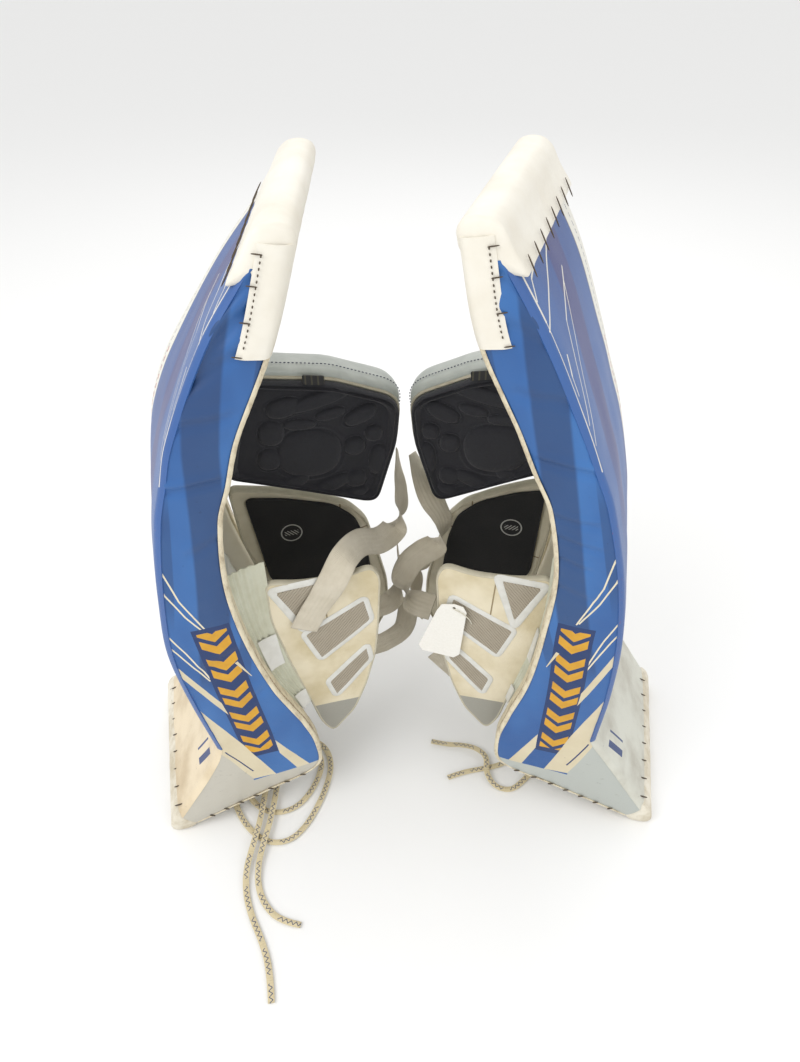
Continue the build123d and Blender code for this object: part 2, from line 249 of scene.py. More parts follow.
def grid_piece(name, columns, rows, place, lengths, away=None, thick=0.0):
    """A grid whose corners run over a surface: place(a, b) gives the point at shares a and b.

    lengths(a, b) gives the piece's own map in metres. away is a point the surface faces away
    from. thick gives the wall its thickness, inwards.
    """
    bpy.ops.object.select_all(action="DESELECT")
    bpy.ops.mesh.primitive_grid_add(x_subdivisions=columns, y_subdivisions=rows, size=1)
    piece = bpy.context.object
    piece.name = name
    mesh = piece.data
    mesh.name = name
    for loop in mesh.uv_layers[0].data:
        loop.uv = lengths(*loop.uv)
    for corner in mesh.vertices:
        corner.co = place(corner.co.x + 0.5, corner.co.y + 0.5)
    mesh.update()
    if away:
        facing = sum(f.normal.dot(f.center - Vector(away)) * f.area for f in mesh.polygons)
        if facing < 0:
            mesh.flip_normals()
    if thick:
        wall = piece.modifiers.new("wall", "SOLIDIFY")
        wall.thickness = thick
        wall.offset = -1
        bpy.ops.object.modifier_apply(modifier="wall")
    bpy.ops.object.shade_smooth_by_angle(angle=radians(50))
    return piece


def finish_piece(piece, finish, slot, *nodes):
    piece.data.materials.clear()
    piece.data.materials.append(finish.material)
    if nodes:
        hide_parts(*nodes)
    return piece


def nurbs_line(name, route):
    """A smooth open curve with the route's points as its control points."""
    curve = bpy.data.curves.new(name, "CURVE")
    curve.dimensions = "3D"
    spline = curve.splines.new("NURBS")
    spline.points.add(len(route) - 1)
    for point, place in zip(spline.points, route):
        point.co = (*place, 1)
    spline.order_u = 3
    spline.use_endpoint_u = True
    return curve


def lace_line(name, route):
    """Points along the smooth line that the route's control points give."""
    curve = nurbs_line(name + "_line", route)
    curve.splines[0].resolution_u = 10
    guide = bpy.data.objects.new(name + "_line", curve)
    bpy.context.collection.objects.link(guide)
    line = bpy.data.meshes.new_from_object(guide)
    points = [v.co.copy() for v in line.vertices]
    bpy.data.objects.remove(guide)
    return points


def ribbon_piece(name, path, widths, half_width, half_thick, edge=0.6, around=16):
    """A flat band with rounded edges along a path; widths gives the width's direction there."""
    total = [0.0]
    for a, b in zip(path, path[1:]):
        total.append(total[-1] + (b - a).length)
    last = len(path) - 1

    def place(a, b):
        step = min(int(round(b * last)), last)
        run = path[min(step + 1, last)] - path[max(step - 1, 0)]
        wide = widths[step] - run * (widths[step].dot(run) / max(run.length_squared, 1e-12))
        wide.normalize()
        up = run.cross(wide).normalized()
        turn = 2 * pi * a
        reach = abs(cos(turn)) ** edge * (1 if cos(turn) > 0 else -1)
        return path[step] + wide * (half_width * reach) + up * (half_thick * sin(turn))

    def lengths(a, b):
        return (cos(2 * pi * a) * half_width, total[min(int(round(b * last)), last)])

    piece = grid_piece(name, around, last, place, lengths)
    bpy.ops.object.mode_set(mode="EDIT")
    bpy.ops.mesh.select_all(action="SELECT")
    bpy.ops.mesh.remove_doubles(threshold=WELD)
    bpy.ops.mesh.select_all(action="DESELECT")
    bpy.ops.mesh.select_non_manifold()
    bpy.ops.mesh.edge_face_add()
    bpy.ops.mesh.select_all(action="SELECT")
    bpy.ops.mesh.normals_make_consistent(inside=False)
    bpy.ops.object.mode_set(mode="OBJECT")
    return piece


lace_finish = Finish("braided_lace", Roughness=0.85)
across, along = lace_finish.cloth()
braid = ((along * 900 + across * 700).maths("SINE") * (along * 900 - across * 700).maths("SINE"))
zigzag = abs((along % 0.0076) - 0.0038) * 0.9 - 0.0017
tracer = (abs(across - zigzag) < 0.0006) & ((along % 0.047) < 0.036)
soiled = lace_finish.noise(lace_finish.place(), 60)
cotton = lace_finish.mix(soiled, rgb(222, 208, 172), rgb(196, 182, 146))
lace_finish.set(Base_Color=lace_finish.mix(tracer, cotton, rgb(70, 80, 108)),
                Normal=lace_finish.bump(braid, 0.5, 0.0006))

for name, route in LACES.items():
    path = lace_line(name, route)
    flat = []
    for step in range(len(path)):
        run = path[min(step + 1, len(path) - 1)] - path[max(step - 1, 0)]
        flat.append(Vector((-run.y, run.x, 0)).normalized())
    lace = ribbon_piece(name + "_braid", path, flat, LACE_WIDTH / 2, LACE_THICK / 2)
    finish_piece(lace, lace_finish, "lace", name)
    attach(lace, name.split("_")[0] + "_boot")

# --- Foam body and quilted channel ------------------------------------------------------------
# Each pad is a long foam slab, covered at the back by a quilted nylon lining that the leg lies
# on. The thigh bends on the shin at a fold under the knee, so one lining runs over both.
PAD_WIDTH, YAW = 280.0, 13.0                   # millimetres and degrees
TOE_X, TOE_Y = 364.0, -172.5
THIGH_TWIST = {"right": -5.0, "left": -13.0}
SIDES = {"right": 1, "left": -1}
WALL, UNDER_FACE = 24.0, 3.3
# Sections of the slab: front u and z, back u and z, percent of the thigh's twist, and how far
# the left and the right pad bow forward.
SLAB = [(-103, 179, -228, 207, 0, 10, -2), (-94, 280, -204, 288, 0, 18, -5),
        (-89, 383, -186, 388, 0, 24, -12), (-102, 485, -181, 485, 0, 29, -13),
        (-128, 588, -198, 582, 0, 38, -13), (-148.6, 640, -219, 630, 8, 41, -12.5),
        (-170, 690, -241, 684, 30, 39, -11), (-220, 792, -286, 782, 70, 25, -7),
        (-272, 880, -305, 875, 95, 6, -5), (-276, 888, -306, 883, 98, 5.5, -5)]
BOOT = [(-103, 179, -228, 207, 0, 10, -2), (-98, 169, -241, 150, 0, 8, -1),
        (-88, 154, -234, 95, 0, 4, 0), (-64, 118, -160, 62, 0, 0, 0),
        (-38, 77, -94, 35.5, 0, 0, 0), (-14, 40, -38, 12.8, 0, 0, 0)]


def smooth_path(points, count):
    """count + 1 points on the curve that passes smoothly through the points, evenly by share."""
    vectors = [Vector(p) for p in points]
    chords = [max((b - a).length, 1e-6) for a, b in zip(vectors, vectors[1:])]
    total = sum(chords)
    path = []
    for step in range(count + 1):
        left = step / count * total
        span = 0
        while span < len(chords) - 1 and left > chords[span]:
            left -= chords[span]
            span += 1
        path.append(hermite(vectors, chords, span, min(left / chords[span], 1.0)))
    return path


def hermite(vectors, chords, span, t):
    def slope(at):
        if at == 0:
            return (vectors[1] - vectors[0]) / chords[0]
        if at == len(vectors) - 1:
            return (vectors[-1] - vectors[-2]) / chords[-1]
        return (vectors[at + 1] - vectors[at - 1]) / (chords[at] + chords[at - 1])
    a, b, size = vectors[span], vectors[span + 1], chords[span]
    return (a * (2 * t**3 - 3 * t**2 + 1) + slope(span) * size * (t**3 - 2 * t**2 + t)
            + b * (3 * t**2 - 2 * t**3) + slope(span + 1) * size * (t**3 - t**2))


SLAB_ROWS, BOOT_ROWS = smooth_path(SLAB, 240), smooth_path(BOOT, 84)
UNDER_CAP = [row for row in SLAB_ROWS if row[1] <= 866]     # the cap hides what is above this


def spot(side, u, w, z, twist=0.0):
    """A place in metres from a pad's own millimetres: forward, across from outside, and up."""
    turn, mirrored = radians(YAW), SIDES[side]
    heading = radians(90 - YAW * mirrored + twist)
    off = w - PAD_WIDTH / 2
    x = mirrored * (TOE_X + u * cos(turn) + PAD_WIDTH / 2 * sin(turn)) + off * cos(heading)
    y = TOE_Y - u * sin(turn) + PAD_WIDTH / 2 * cos(turn) + off * sin(heading)
    return Vector((x, y, z)) / 1000


def bow(side, row):
    return row[5] if side == "left" else row[6]


def full_depth(row):
    return hypot(row[2] - row[0], row[3] - row[1])


def on_pad(side, row, depth, w):
    """A place on a section of the pad, at a depth behind its front and a width across it."""
    share = depth / full_depth(row)
    return spot(side, row[0] + (row[2] - row[0]) * share + bow(side, row), w,
                row[1] + (row[3] - row[1]) * share, THIGH_TWIST[side] * row[4] / 100)


def round_box(share, half_x, half_y, radius):
    """A point and heading on a rounded box's outline, walked from its low corner along low y."""
    x, y, heading = radius - half_x, -half_y, 0.0
    left = share * (4 * (half_x + half_y) - 8 * radius + 2 * pi * radius)
    for number in range(8):
        if number % 2:
            step = min(left, pi / 2 * radius)
            x += radius * (sin(heading + step / radius) - sin(heading))
            y += radius * (cos(heading) - cos(heading + step / radius))
            heading += step / radius
        else:
            step = min(left, 2 * ((half_x if number % 4 == 0 else half_y) - radius))
            x += cos(heading) * step
            y += sin(heading) * step
        left -= step
        if left <= 1e-9:
            break
    return x, y, heading


def close_ends():
    """Fills the open ends of the piece that was just made."""
    bpy.ops.object.mode_set(mode="EDIT")
    bpy.ops.mesh.select_all(action="SELECT")
    bpy.ops.mesh.remove_doubles(threshold=WELD)
    bpy.ops.mesh.fill_holes(sides=0)
    bpy.ops.mesh.normals_make_consistent(inside=False)
    bpy.ops.object.mode_set(mode="OBJECT")
    bpy.ops.object.shade_smooth_by_angle(angle=radians(50))


def run_piece(side, name, rows, box, around, radius, relief=None):
    """A closed padded run along the pad. box(row) gives its depths and widths in a section."""
    last = len(rows) - 1

    def at(share, step):
        low, high, near, far = box(rows[step])
        x, y, heading = round_box(share, (high - low) / 2, (far - near) / 2, radius)
        return (low + high) / 2 + x, (near + far) / 2 + y, heading

    def place(a, b):
        row = rows[int(round(b * last))]
        depth, w, heading = at(a, int(round(b * last)))
        push = relief(row, depth, w, heading) if relief else 0.0
        return on_pad(side, row, depth + push * sin(heading), w - push * cos(heading))

    def lengths(a, b):
        row = rows[int(round(b * last))]
        share = at(a, int(round(b * last)))[0] / full_depth(row)
        return ((row[0] + (row[2] - row[0]) * share) / 1000,
                (row[1] + (row[3] - row[1]) * share) / 1000)

    piece = grid_piece(name, around, last, place, lengths)
    close_ends()
    return piece


BLEND_HEIGHTS = {"thigh": (600, 680), "boot": (205, 150)}      # where the pad's soft folds start and end; no piece is bent there


def joint_blend(piece, side, other):
    start, end = (tuple(spot(side, -150, PAD_WIDTH / 2, z)) for z in BLEND_HEIGHTS[other])
    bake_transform(piece)


def channel(row):
    """How deep the leg channel lies behind the walls: deep on the shin, shallow on the thigh."""
    share = min(max((row[3] - 590) / 90, 0), 1)
    return 30 - 18 * share * share * (3 - 2 * share) if row[3] > 207 or row[2] > -228 else 14


def quilting(row, depth, w, heading):
    if sin(heading) < 0.5:
        return 0.0
    quilt = abs(sin(pi * (w - 24) / 58)) ** 0.5 * 5 - 3
    fold = noise.noise(Vector((w * 0.05, row[3] * 0.06, 4.0))) * 2.2
    return quilt + fold + noise.noise(Vector((w * 0.012, row[3] * 0.14, 1.0))) * 1.6


lining = Finish("quilted_lining", Roughness=0.62)
lining_tone = lining.noise(lining.stretched(lining.place(), (18, 18, 40)), 1.4, 5)
weave = lining.noise(lining.place(), 2400, 1)
lining.set(Base_Color=lining.mix(lining_tone, rgb(214, 214, 204), rgb(160, 160, 150)),
           Normal=lining.bump(weave, 0.25, 0.0004, lining.bump(lining_tone, 0.5, 0.003)))

for side in SIDES:
    slab_core = run_piece(side, side + "_channel_lining", UNDER_CAP,
                          lambda row: (5.6, full_depth(row) - channel(row), 24.3, PAD_WIDTH - 24.3),
                          150, 4, quilting)
    finish_piece(slab_core, lining, "foam", side + "_shin_core", side + "_thigh_core")
    joint_blend(slab_core, side, "thigh")
    boot_core = run_piece(side, side + "_boot_lining", BOOT_ROWS,
                          lambda row: (3.6, max(full_depth(row) - 20, 8), 24.3, PAD_WIDTH - 24.3),
                          150, 2, quilting)
    finish_piece(boot_core, lining, "foam", side + "_boot_core")
    joint_blend(boot_core, side, "boot")


# --- Leather side walls -----------------------------------------------------------------------
# Padded walls of dyed royal blue leather, printed with darker bands, cream flashes and a block
# of gold chevrons. They are soft and crease where the thigh bends; the far walls are white.
def crease(u, z, start, end, deep, wide):
    """How far a sewn or worn fold between two points sinks the leather at a place."""
    run_u, run_z = end[0] - start[0], end[1] - start[1]
    size = hypot(run_u, run_z)
    along = ((u - start[0]) * run_u + (z - start[1]) * run_z) / size
    off = ((u - start[0]) * -run_z + (z - start[1]) * run_u) / size
    off += noise.noise(Vector((along * 0.03, z * 0.01, deep))) * 4
    fade = max(0.0, min(1.0, min(along + 6, size + 6 - along) / 16))
    valley = -deep * exp(-(off / wide) ** 2) + deep * 0.55 * exp(-((off - 1.8 * wide) / wide) ** 2)
    return valley * fade * fade * (3 - 2 * fade)


WALL_CREASES = {
    "left": [((-290, 868), (-228, 815), 3.4, 6), ((-285, 846), (-200, 752), 4.2, 8),
             ((-268, 790), (-196, 745), 2.6, 7), ((-246, 716), (-176, 706), 2.2, 6),
             ((-218, 640), (-150, 634), 3.0, 5), ((-200, 560), (-150, 545), 1.4, 6),
             ((-192, 380), (-120, 350), 1.6, 8), ((-205, 300), (-160, 270), 1.2, 7)],
    "right": [((-294, 862), (-240, 830), 2.4, 6), ((-280, 810), (-215, 776), 2.6, 8),
              ((-252, 728), (-180, 716), 2.0, 7), ((-222, 650), (-150, 636), 2.8, 5),
              ((-196, 575), (-140, 566), 2.0, 4.5), ((-190, 545), (-132, 534), 1.8, 4),
              ((-186, 512), (-140, 505), 1.6, 4), ((-184, 470), (-130, 455), 1.2, 5)],
}


def wall_relief(side, outer):
    facing = -1 if outer else 1

    def relief(row, depth, w, heading):
        if -cos(heading) * facing > 0.3 and sin(heading) < 0.7:
            size = full_depth(row)
            share = depth / size
            u, z = row[0] + (row[2] - row[0]) * share, row[1] + (row[3] - row[1]) * share
            crown = 3.4 * (1 - (2 * share - 1) ** 2)
            soft = noise.noise(Vector((u * 0.016, z * 0.011, SIDES[side] * 3))) * 1.6
            soft += noise.noise(Vector((u * 0.05 + z * 0.02, z * 0.045, 7))) * 0.6
            folds = sum(crease(u, z, *fold) for fold in WALL_CREASES[side]) if outer else 0
            return (crown + soft + folds) * abs(cos(heading))
        return 0.0
    return relief


def leather_grain(finish, fine=1500, strength=0.22):
    pebble = finish.node("TexVoronoi", {"feature": "DISTANCE_TO_EDGE"}, Vector=finish.place(), Scale=fine)
    soft = finish.noise(finish.place(), 90, 4)
    return finish.bump(pebble, strength, 0.0006, finish.bump(soft, 0.12, 0.002))


# Where the printed flashes lie on each wall, in metres forward and up.
FLASH_LINES = [((-.118, .570), (-.117, .527)), ((-.117, .527), (-.124, .478)),
               ((-.124, .478), (-.148, .412)), ((-.106, .526), (-.111, .490)),
               ((-.111, .490), (-.125, .452)), ((-.125, .452), (-.145, .414)),
               ((-.095, .430), (-.112, .388)), ((-.112, .388), (-.130, .336)),
               ((-.094, .406), (-.111, .370)), ((-.111, .370), (-.129, .331))]
LOWER_FLASH = [(-.184, .180), (-.185, .148), (-.206, .093), (-.225, .099)]
UPPER_FLASH = [(-.095, .367), (-.095, .347), (-.136, .256), (-.133, .284)]
FRONT_FLASH = [(-.094, .292), (-.140, .183), (-.169, .098), (-.132, .098), (-.098, .172), (-.086, .230)]
PANEL_FRONT = [(-.103, .178), (-.134, .100), (-.134, .0), (.1, .0), (.1, .178)]
SLASH = ((-.167, .356), (-.181, .325))
CHEVRON_RUN = {"left": ((-.149, .424), (-.161, .157)), "right": ((-.147, .404), (-.162, .146))}


def wall_leather(side):
    finish = Finish(side + "_wall_leather", Roughness=0.42, Specular_IOR_Level=0.42)
    x, y = finish.cloth()
    wash = finish.noise(finish.stretched(finish.place(), (1, 1, 0.5)), 7, 3)
    blue = finish.mix(finish.ramp(wash, 0.32, 0.72), rgb(58, 110, 172), rgb(42, 86, 146))
    for start, end, wide, share in (((-.238, .860), (-.130, .300), .038, .75),
                                    ((-.300, .850), (-.165, .300), .016, .5),
                                    ((-.150, .640), (-.100, .430), .014, .5)):
        blue = finish.mix(finish.streak(x, y, start, end, wide) * share, blue, rgb(36, 62, 104))
    cream, navy = rgb(222, 212, 184), rgb(26, 52, 100)
    for start, end in FLASH_LINES:
        blue = finish.mix(finish.line(x, y, start, end, .0021), blue, cream)
    (top_u, top_z), (low_u, low_z) = CHEVRON_RUN[side]
    size = hypot(low_u - top_u, low_z - top_z)
    run_u, run_z = (low_u - top_u) / size, (low_z - top_z) / size
    along = (x - top_u) * run_u + (y - top_z) * run_z
    off = abs((x - top_u) * -run_z + (y - top_z) * run_u)
    patch = (off < .0235) & ((along > -.004) & (along < size + .004))
    blue = finish.mix(patch, blue, navy)
    step = (along + off * 0.8) % .0560
    bars = ((step > .008) & (step < .023)) | ((step > .031) & (step < .046))
    bars = bars & (off < .0185) & ((along > .004) & (along < size - .006))
    gold = finish.mix(finish.noise(finish.place(), 60), rgb(222, 168, 42), rgb(186, 134, 34))
    blue = finish.mix(bars, blue, gold)
    worn = finish.mix(finish.noise(finish.place(), 24, 5), cream, rgb(196, 182, 150))
    for outline in (UPPER_FLASH, LOWER_FLASH, FRONT_FLASH):
        blue = finish.mix(finish.region(x, y, outline), blue, worn)
    blue = finish.mix(finish.line(x, y, *SLASH, .0045, 0.2), blue, worn)
    blue = finish.mix(finish.line(x, y, (-.112, .174), (-.138, .118), .0022), blue, navy)
    panel = (x * -0.12 - y > -.0780) | finish.region(x, y, PANEL_FRONT)
    scuffs = finish.ramp(finish.noise(finish.stretched(finish.place(), (1, 1, 3)), 45, 6, 0.7), 0.60, 0.72)
    pale = (190, 186, 174) if side == "left" else (178, 182, 176)
    vinyl = finish.mix(scuffs * 0.5, rgb(*pale), rgb(120, 112, 100))
    blue = finish.mix(panel, blue, vinyl)
    dust = finish.ramp(finish.noise(finish.place(), 130, 6, 0.75), 0.63, 0.72)
    blue = finish.mix(dust * 0.35, blue, rgb(18, 30, 52))
    finish.set(Base_Color=blue, Normal=leather_grain(finish))
    return finish


white_leather = Finish("white_leather", Roughness=0.5)
grime = white_leather.ramp(white_leather.noise(white_leather.place(), 9, 5, 0.6), 0.3, 0.8)
white_leather.set(Base_Color=white_leather.mix(grime, rgb(234, 230, 219), rgb(220, 213, 197)),
                  Normal=leather_grain(white_leather))

for side in SIDES:
    blue_leather = wall_leather(side)
    for where, near, far, leather in (("outer", 0, WALL, blue_leather),
                                      ("inner", PAD_WIDTH - WALL, PAD_WIDTH, white_leather)):
        outer = where == "outer"
        across = (spot(side, 0, 1, 0) - spot(side, 0, 0, 0)).normalized() * (1 if outer else -1)
        for part, rows in (("slab", UNDER_CAP), ("boot", BOOT_ROWS)):
            wall = run_piece(side, f"{side}_{part}_{where}_wall", rows,
                             lambda row: (UNDER_FACE, full_depth(row), near, far),
                             120 if outer else 80, 5.5 if part == "slab" else 4,
                             wall_relief(side, outer))
            finish_piece(wall, leather, "blue_leather" if outer and part == "slab" else
                         "boot_leather" if part == "boot" else "white_leather")
            if outer:
                wall.data.materials.append(white_leather.material)
                for face in wall.data.polygons:
                    if face.normal.dot(across) > 0.2:
                        face.material_index = 1
            if part == "slab":
                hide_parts(f"{side}_shin_{where}_wall", f"{side}_thigh_{where}_wall")
                joint_blend(wall, side, "thigh")
            else:
                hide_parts(f"{side}_boot_{where}_wall")
                joint_blend(wall, side, "boot")


# --- Printed face -----------------------------------------------------------------------------
# One sheet of leather over the front: blue with violet shading and thin white sail lines, and
# a white border with navy stitching along the inner edge. The boot's face is cream leather.
def face_sheet(side, name, rows, columns, swell):
    last = len(rows) - 1

    def place(a, b):
        row = rows[int(round(b * last))]
        w = -2.0 + a * (PAD_WIDTH + 4)
        edge = min(w + 2, PAD_WIDTH + 2 - w)
        curl = 6.5 * max(0.0, 1 - edge / 9) ** 2
        crown = -swell * (1 - (2 * a - 1) ** 4)
        soft = noise.noise(Vector((w * 0.02, row[1] * 0.012, 2 * SIDES[side]))) * 1.5
        return on_pad(side, row, curl + crown + soft * min(edge / 20, 1), w)

    def lengths(a, b):
        return (-2 + a * (PAD_WIDTH + 4)) / 1000, rows[int(round(b * last))][1] / 1000

    return grid_piece(name, columns, last, place, lengths, away=tuple(spot(side, -400, 140, 400)),
                      thick=0.0026)


# Sail lines printed on the face: across and up in metres, with their widths.
SAIL_LINES = [((.008, .885), (.010, .800), .0036), ((.010, .800), (.004, .640), .0016),
              ((.163, .861), (.026, .836), .0024), ((.026, .836), (.012, .819), .0024),
              ((.156, .857), (.074, .821), .0024), ((.074, .821), (.007, .792), .0024),
              ((.131, .809), (.070, .776), .0024), ((.070, .776), (.012, .690), .0020),
              ((.116, .801), (.010, .668), .0018), ((.026, .761), (.016, .742), .0030),
              ((.016, .742), (.014, .722), .0016)]


def face_leather(side):
    finish = Finish(side + "_face_leather", Roughness=0.4)
    w, z = finish.cloth()
    wash = finish.noise(finish.stretched(finish.place(), (1, 1, 0.4)), 6, 3)
    blue = finish.mix(finish.ramp(wash, 0.3, 0.7), rgb(50, 92, 156), rgb(44, 70, 130))
    blue = finish.mix(finish.streak(w, z, (.150, .900), (.060, .500), .060) * 0.8, blue, rgb(62, 62, 116))
    blue = finish.mix(finish.ramp(w, .10, .00) * 0.6, blue, rgb(54, 98, 160))
    for start, end, wide in SAIL_LINES:
        blue = finish.mix(finish.line(w, z, start, end, wide), blue, rgb(222, 218, 206))
    red = finish.ramp(finish.noise(finish.stretched(finish.place(), (3, 3, 1)), 120, 5, 0.7), .62, .70)
    low = finish.ramp(z, .70, .48)
    blue = finish.mix(red * low * (w < .04), blue, rgb(150, 34, 44))
    wear = (abs(w - .246) < .0022) & ((z % .0120) < .0074) & (z < .680)
    border = w > .226
    stitch = (abs(w - .252) < .0011) & ((z % .0090) < .0055)
    white = finish.mix(stitch, rgb(226, 224, 214), rgb(40, 52, 96))
    white = finish.mix(wear, white, rgb(176, 40, 44))
    blue = finish.mix(border, blue, white)
    seam = (abs(w - .226) < .0012)
    finish.set(Base_Color=finish.mix(seam, blue, rgb(120, 108, 96)), Normal=leather_grain(finish))
    return finish


boot_leather = {}
for side, clean, worn in (("left", (226, 210, 180), (196, 176, 142)),
                          ("right", (206, 206, 194), (176, 172, 158))):
    boot_leather[side] = Finish(side + "_boot_leather", Roughness=0.46)
    boot = boot_leather[side]
    tone = boot.ramp(boot.noise(boot.place(), 11, 5, 0.6), 0.35, 0.7)
    tilted = boot.stretched(boot.place(), (1, 1, 5), (0.5, 0.3, 0.2))
    marks = boot.ramp(boot.noise(tilted, 55, 8, 0.72), 0.66, 0.72)
    specks = boot.ramp(boot.noise(boot.place(), 240, 5, 0.7), 0.68, 0.73)
    w, z = boot.cloth()
    mark = boot.region(w, z, [(.020, .148), (.030, .112), (.042, .112), (.032, .148)])
    mark = mark | boot.region(w, z, [(.046, .148), (.056, .112), (.060, .112), (.050, .148)])
    colour = boot.mix(tone, rgb(*clean), rgb(*worn))
    colour = boot.mix(mark, colour, rgb(52, 70, 116))
    colour = boot.mix((marks | specks) * 0.8, colour, rgb(58, 52, 48))
    boot.set(Base_Color=colour, Normal=leather_grain(boot, 1100, 0.3))

for side in SIDES:
    slab_face = face_sheet(side, side + "_printed_face", UNDER_CAP, 96, 3.0)
    finish_piece(slab_face, face_leather(side), "blue_leather", side + "_shin_face", side + "_thigh_face")
    joint_blend(slab_face, side, "thigh")
    boot_face = face_sheet(side, side + "_boot_face_leather", BOOT_ROWS, 96, 4.0)
    finish_piece(boot_face, boot_leather[side], "boot_leather", side + "_boot_face")
    joint_blend(boot_face, side, "boot")

board_plastic = Finish("board_plastic", Roughness=0.45)
speck = board_plastic.noise(board_plastic.place(), 300)
board_plastic.set(Base_Color=board_plastic.mix(speck, rgb(60, 62, 66), rgb(44, 46, 50)))
for side in SIDES:
    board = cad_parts[side + "_shin_board"]
    for place in board.material_slots:
        place.material = board_plastic.material

# --- Bound edges ------------------------------------------------------------------------------
# A strip of cream leather is folded over the back edge of each wall and sewn through with tan
# thread. It has gone grey and rough along the fold. One run goes up the slab, one round the boot.
binding = Finish("edge_binding_leather", Roughness=0.6)
across, along = binding.cloth()
rub = binding.ramp(binding.noise(binding.stretched(binding.place(), (2, 2, 1)), 50, 6, 0.7), 0.4, 0.75)
cream = binding.mix(rub, rgb(220, 210, 184), rgb(172, 156, 128))
thread = (abs(across - .0062) < .0009) & ((along % .0062) < .0042)
groove = abs(across - .0062) < .0016
cream = binding.mix(groove * 0.45, cream, rgb(120, 96, 70))
binding.set(Base_Color=binding.mix(thread, cream, rgb(138, 100, 62)),
            Normal=leather_grain(binding, 1300, 0.35))


def bound_edge(side, name, rows, near, far, flip, thick=3.4):
    """A folded strip along the back edge between two widths; its map is across and along."""
    last = len(rows) - 1
    runs = [0.0]
    for a, b in zip(rows, rows[1:]):
        runs.append(runs[-1] + hypot(a[2] - b[2], a[3] - b[3]) / 1000)
    half_w = (far - near) / 2

    def at(a, b):
        x, y, heading = round_box(a, thick / 2 + 0.6, half_w, thick / 2)
        return x, y, heading, rows[int(round(b * last))]

    def place(a, b):
        x, y, heading, row = at(a, b)
        w = (near + far) / 2 + y
        z = row[3]
        wobble = noise.noise(Vector((z * 0.03, near, SIDES[side]))) * 0.9
        rough = noise.noise(Vector((z * 0.16, w * 0.2, 5))) * 0.35
        from_edge = (w - near) if flip else (far - w)
        dip = -1.1 * exp(-((from_edge - 6.2) / 1.5) ** 2)
        drop = 2.6 * max(0.0, 1 - from_edge / 4) ** 2
        depth = full_depth(row) + 0.8 + x + (dip + rough) * max(sin(heading), 0) - drop
        return on_pad(side, row, depth, w + wobble)

    def lengths(a, b):
        w = (near + far) / 2 + at(a, b)[1]
        return ((w - near) if flip else (far - w)) / 1000, runs[int(round(b * last))]

    piece = grid_piece(name, 44, last, place, lengths)
    close_ends()
    return piece


def rows_between(rows, low_z, high_z):
    return [row for row in rows if low_z <= row[3] <= high_z]


for side in SIDES:
    for where, near, far in (("outer", -1.6, 21.0), ("inner", PAD_WIDTH - 21, PAD_WIDTH + 1.6)):
        outer = where == "outer"
        rows = rows_between(SLAB_ROWS, 207, 792 if outer else 860)
        strip = bound_edge(side, f"{side}_{where}_edge_strip", rows, near, far, outer)
        finish_piece(strip, binding, "binding")
        if outer:
            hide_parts(side + "_edge_binding")
        joint_blend(strip, side, "thigh")
        strip = bound_edge(side, f"{side}_{where}_boot_strip", BOOT_ROWS, near, far, outer)
        finish_piece(strip, binding, "binding")
        joint_blend(strip, side, "boot")


# --- Toe binding and bridge -------------------------------------------------------------------
# The toe end that the pad stands on is closed by a rolled strip of white leather, whipped to
# the boot with heavy waxed thread. A black bridge is sewn under it, and the laces leave there.
def soften(outline, radius=14.0):
    """The outline with each corner turned on a curve that starts this far from it."""
    corners = [Vector(p) for p in outline]
    points = []
    for before, corner, after in zip(corners[-1:] + corners[:-1], corners, corners[1:] + corners[:1]):
        back = (before - corner) * min(radius / (before - corner).length, 0.48)
        on = (after - corner) * min(radius / (after - corner).length, 0.48)
        for step in range(7):
            t = step / 6
            points.append(corner + back * (1 - t) ** 2 + on * t ** 2)
    return points


def evenly(points, count):
    """count points spaced evenly round a closed outline."""
    ring = points + points[:1]
    sizes = [(b - a).length for a, b in zip(ring, ring[1:])]
    total, result, span, passed = sum(sizes), [], 0, 0.0
    for step in range(count):
        goal = total * step / count
        while passed + sizes[span] < goal:
            passed += sizes[span]
            span += 1
        result.append(ring[span].lerp(ring[span + 1], (goal - passed) / sizes[span]))
    return result


def crosswise_roll(side, name, outline, near, far, twist, around, columns, rough=0.4, shift=0.0):
    """A closed roll across the pad with an outline in u and z, its two ends drawn in."""
    ring = evenly(soften(outline, 6), around)
    middle = sum(ring, Vector((0, 0))) / len(ring)

    def place(a, b):
        w = near + (far - near) * b
        end = min(b, 1 - b) * (far - near)
        draw = 1 - 0.5 * max(0.0, 1 - end / 5) ** 2
        point = middle + (ring[int(round(a * around)) % around] - middle) * draw
        wave = noise.noise(Vector((w * 0.05, point.x * 0.05, point.y * 0.05))) * rough
        forward = shift * (1 if side == "left" else -0.8)
        return spot(side, point.x + wave + forward, w, point.y + wave, twist)

    piece = grid_piece(name, around, columns, place,
                       lambda a, b: ((near + (far - near) * b) / 1000, a * 0.14))
    close_ends()
    return piece


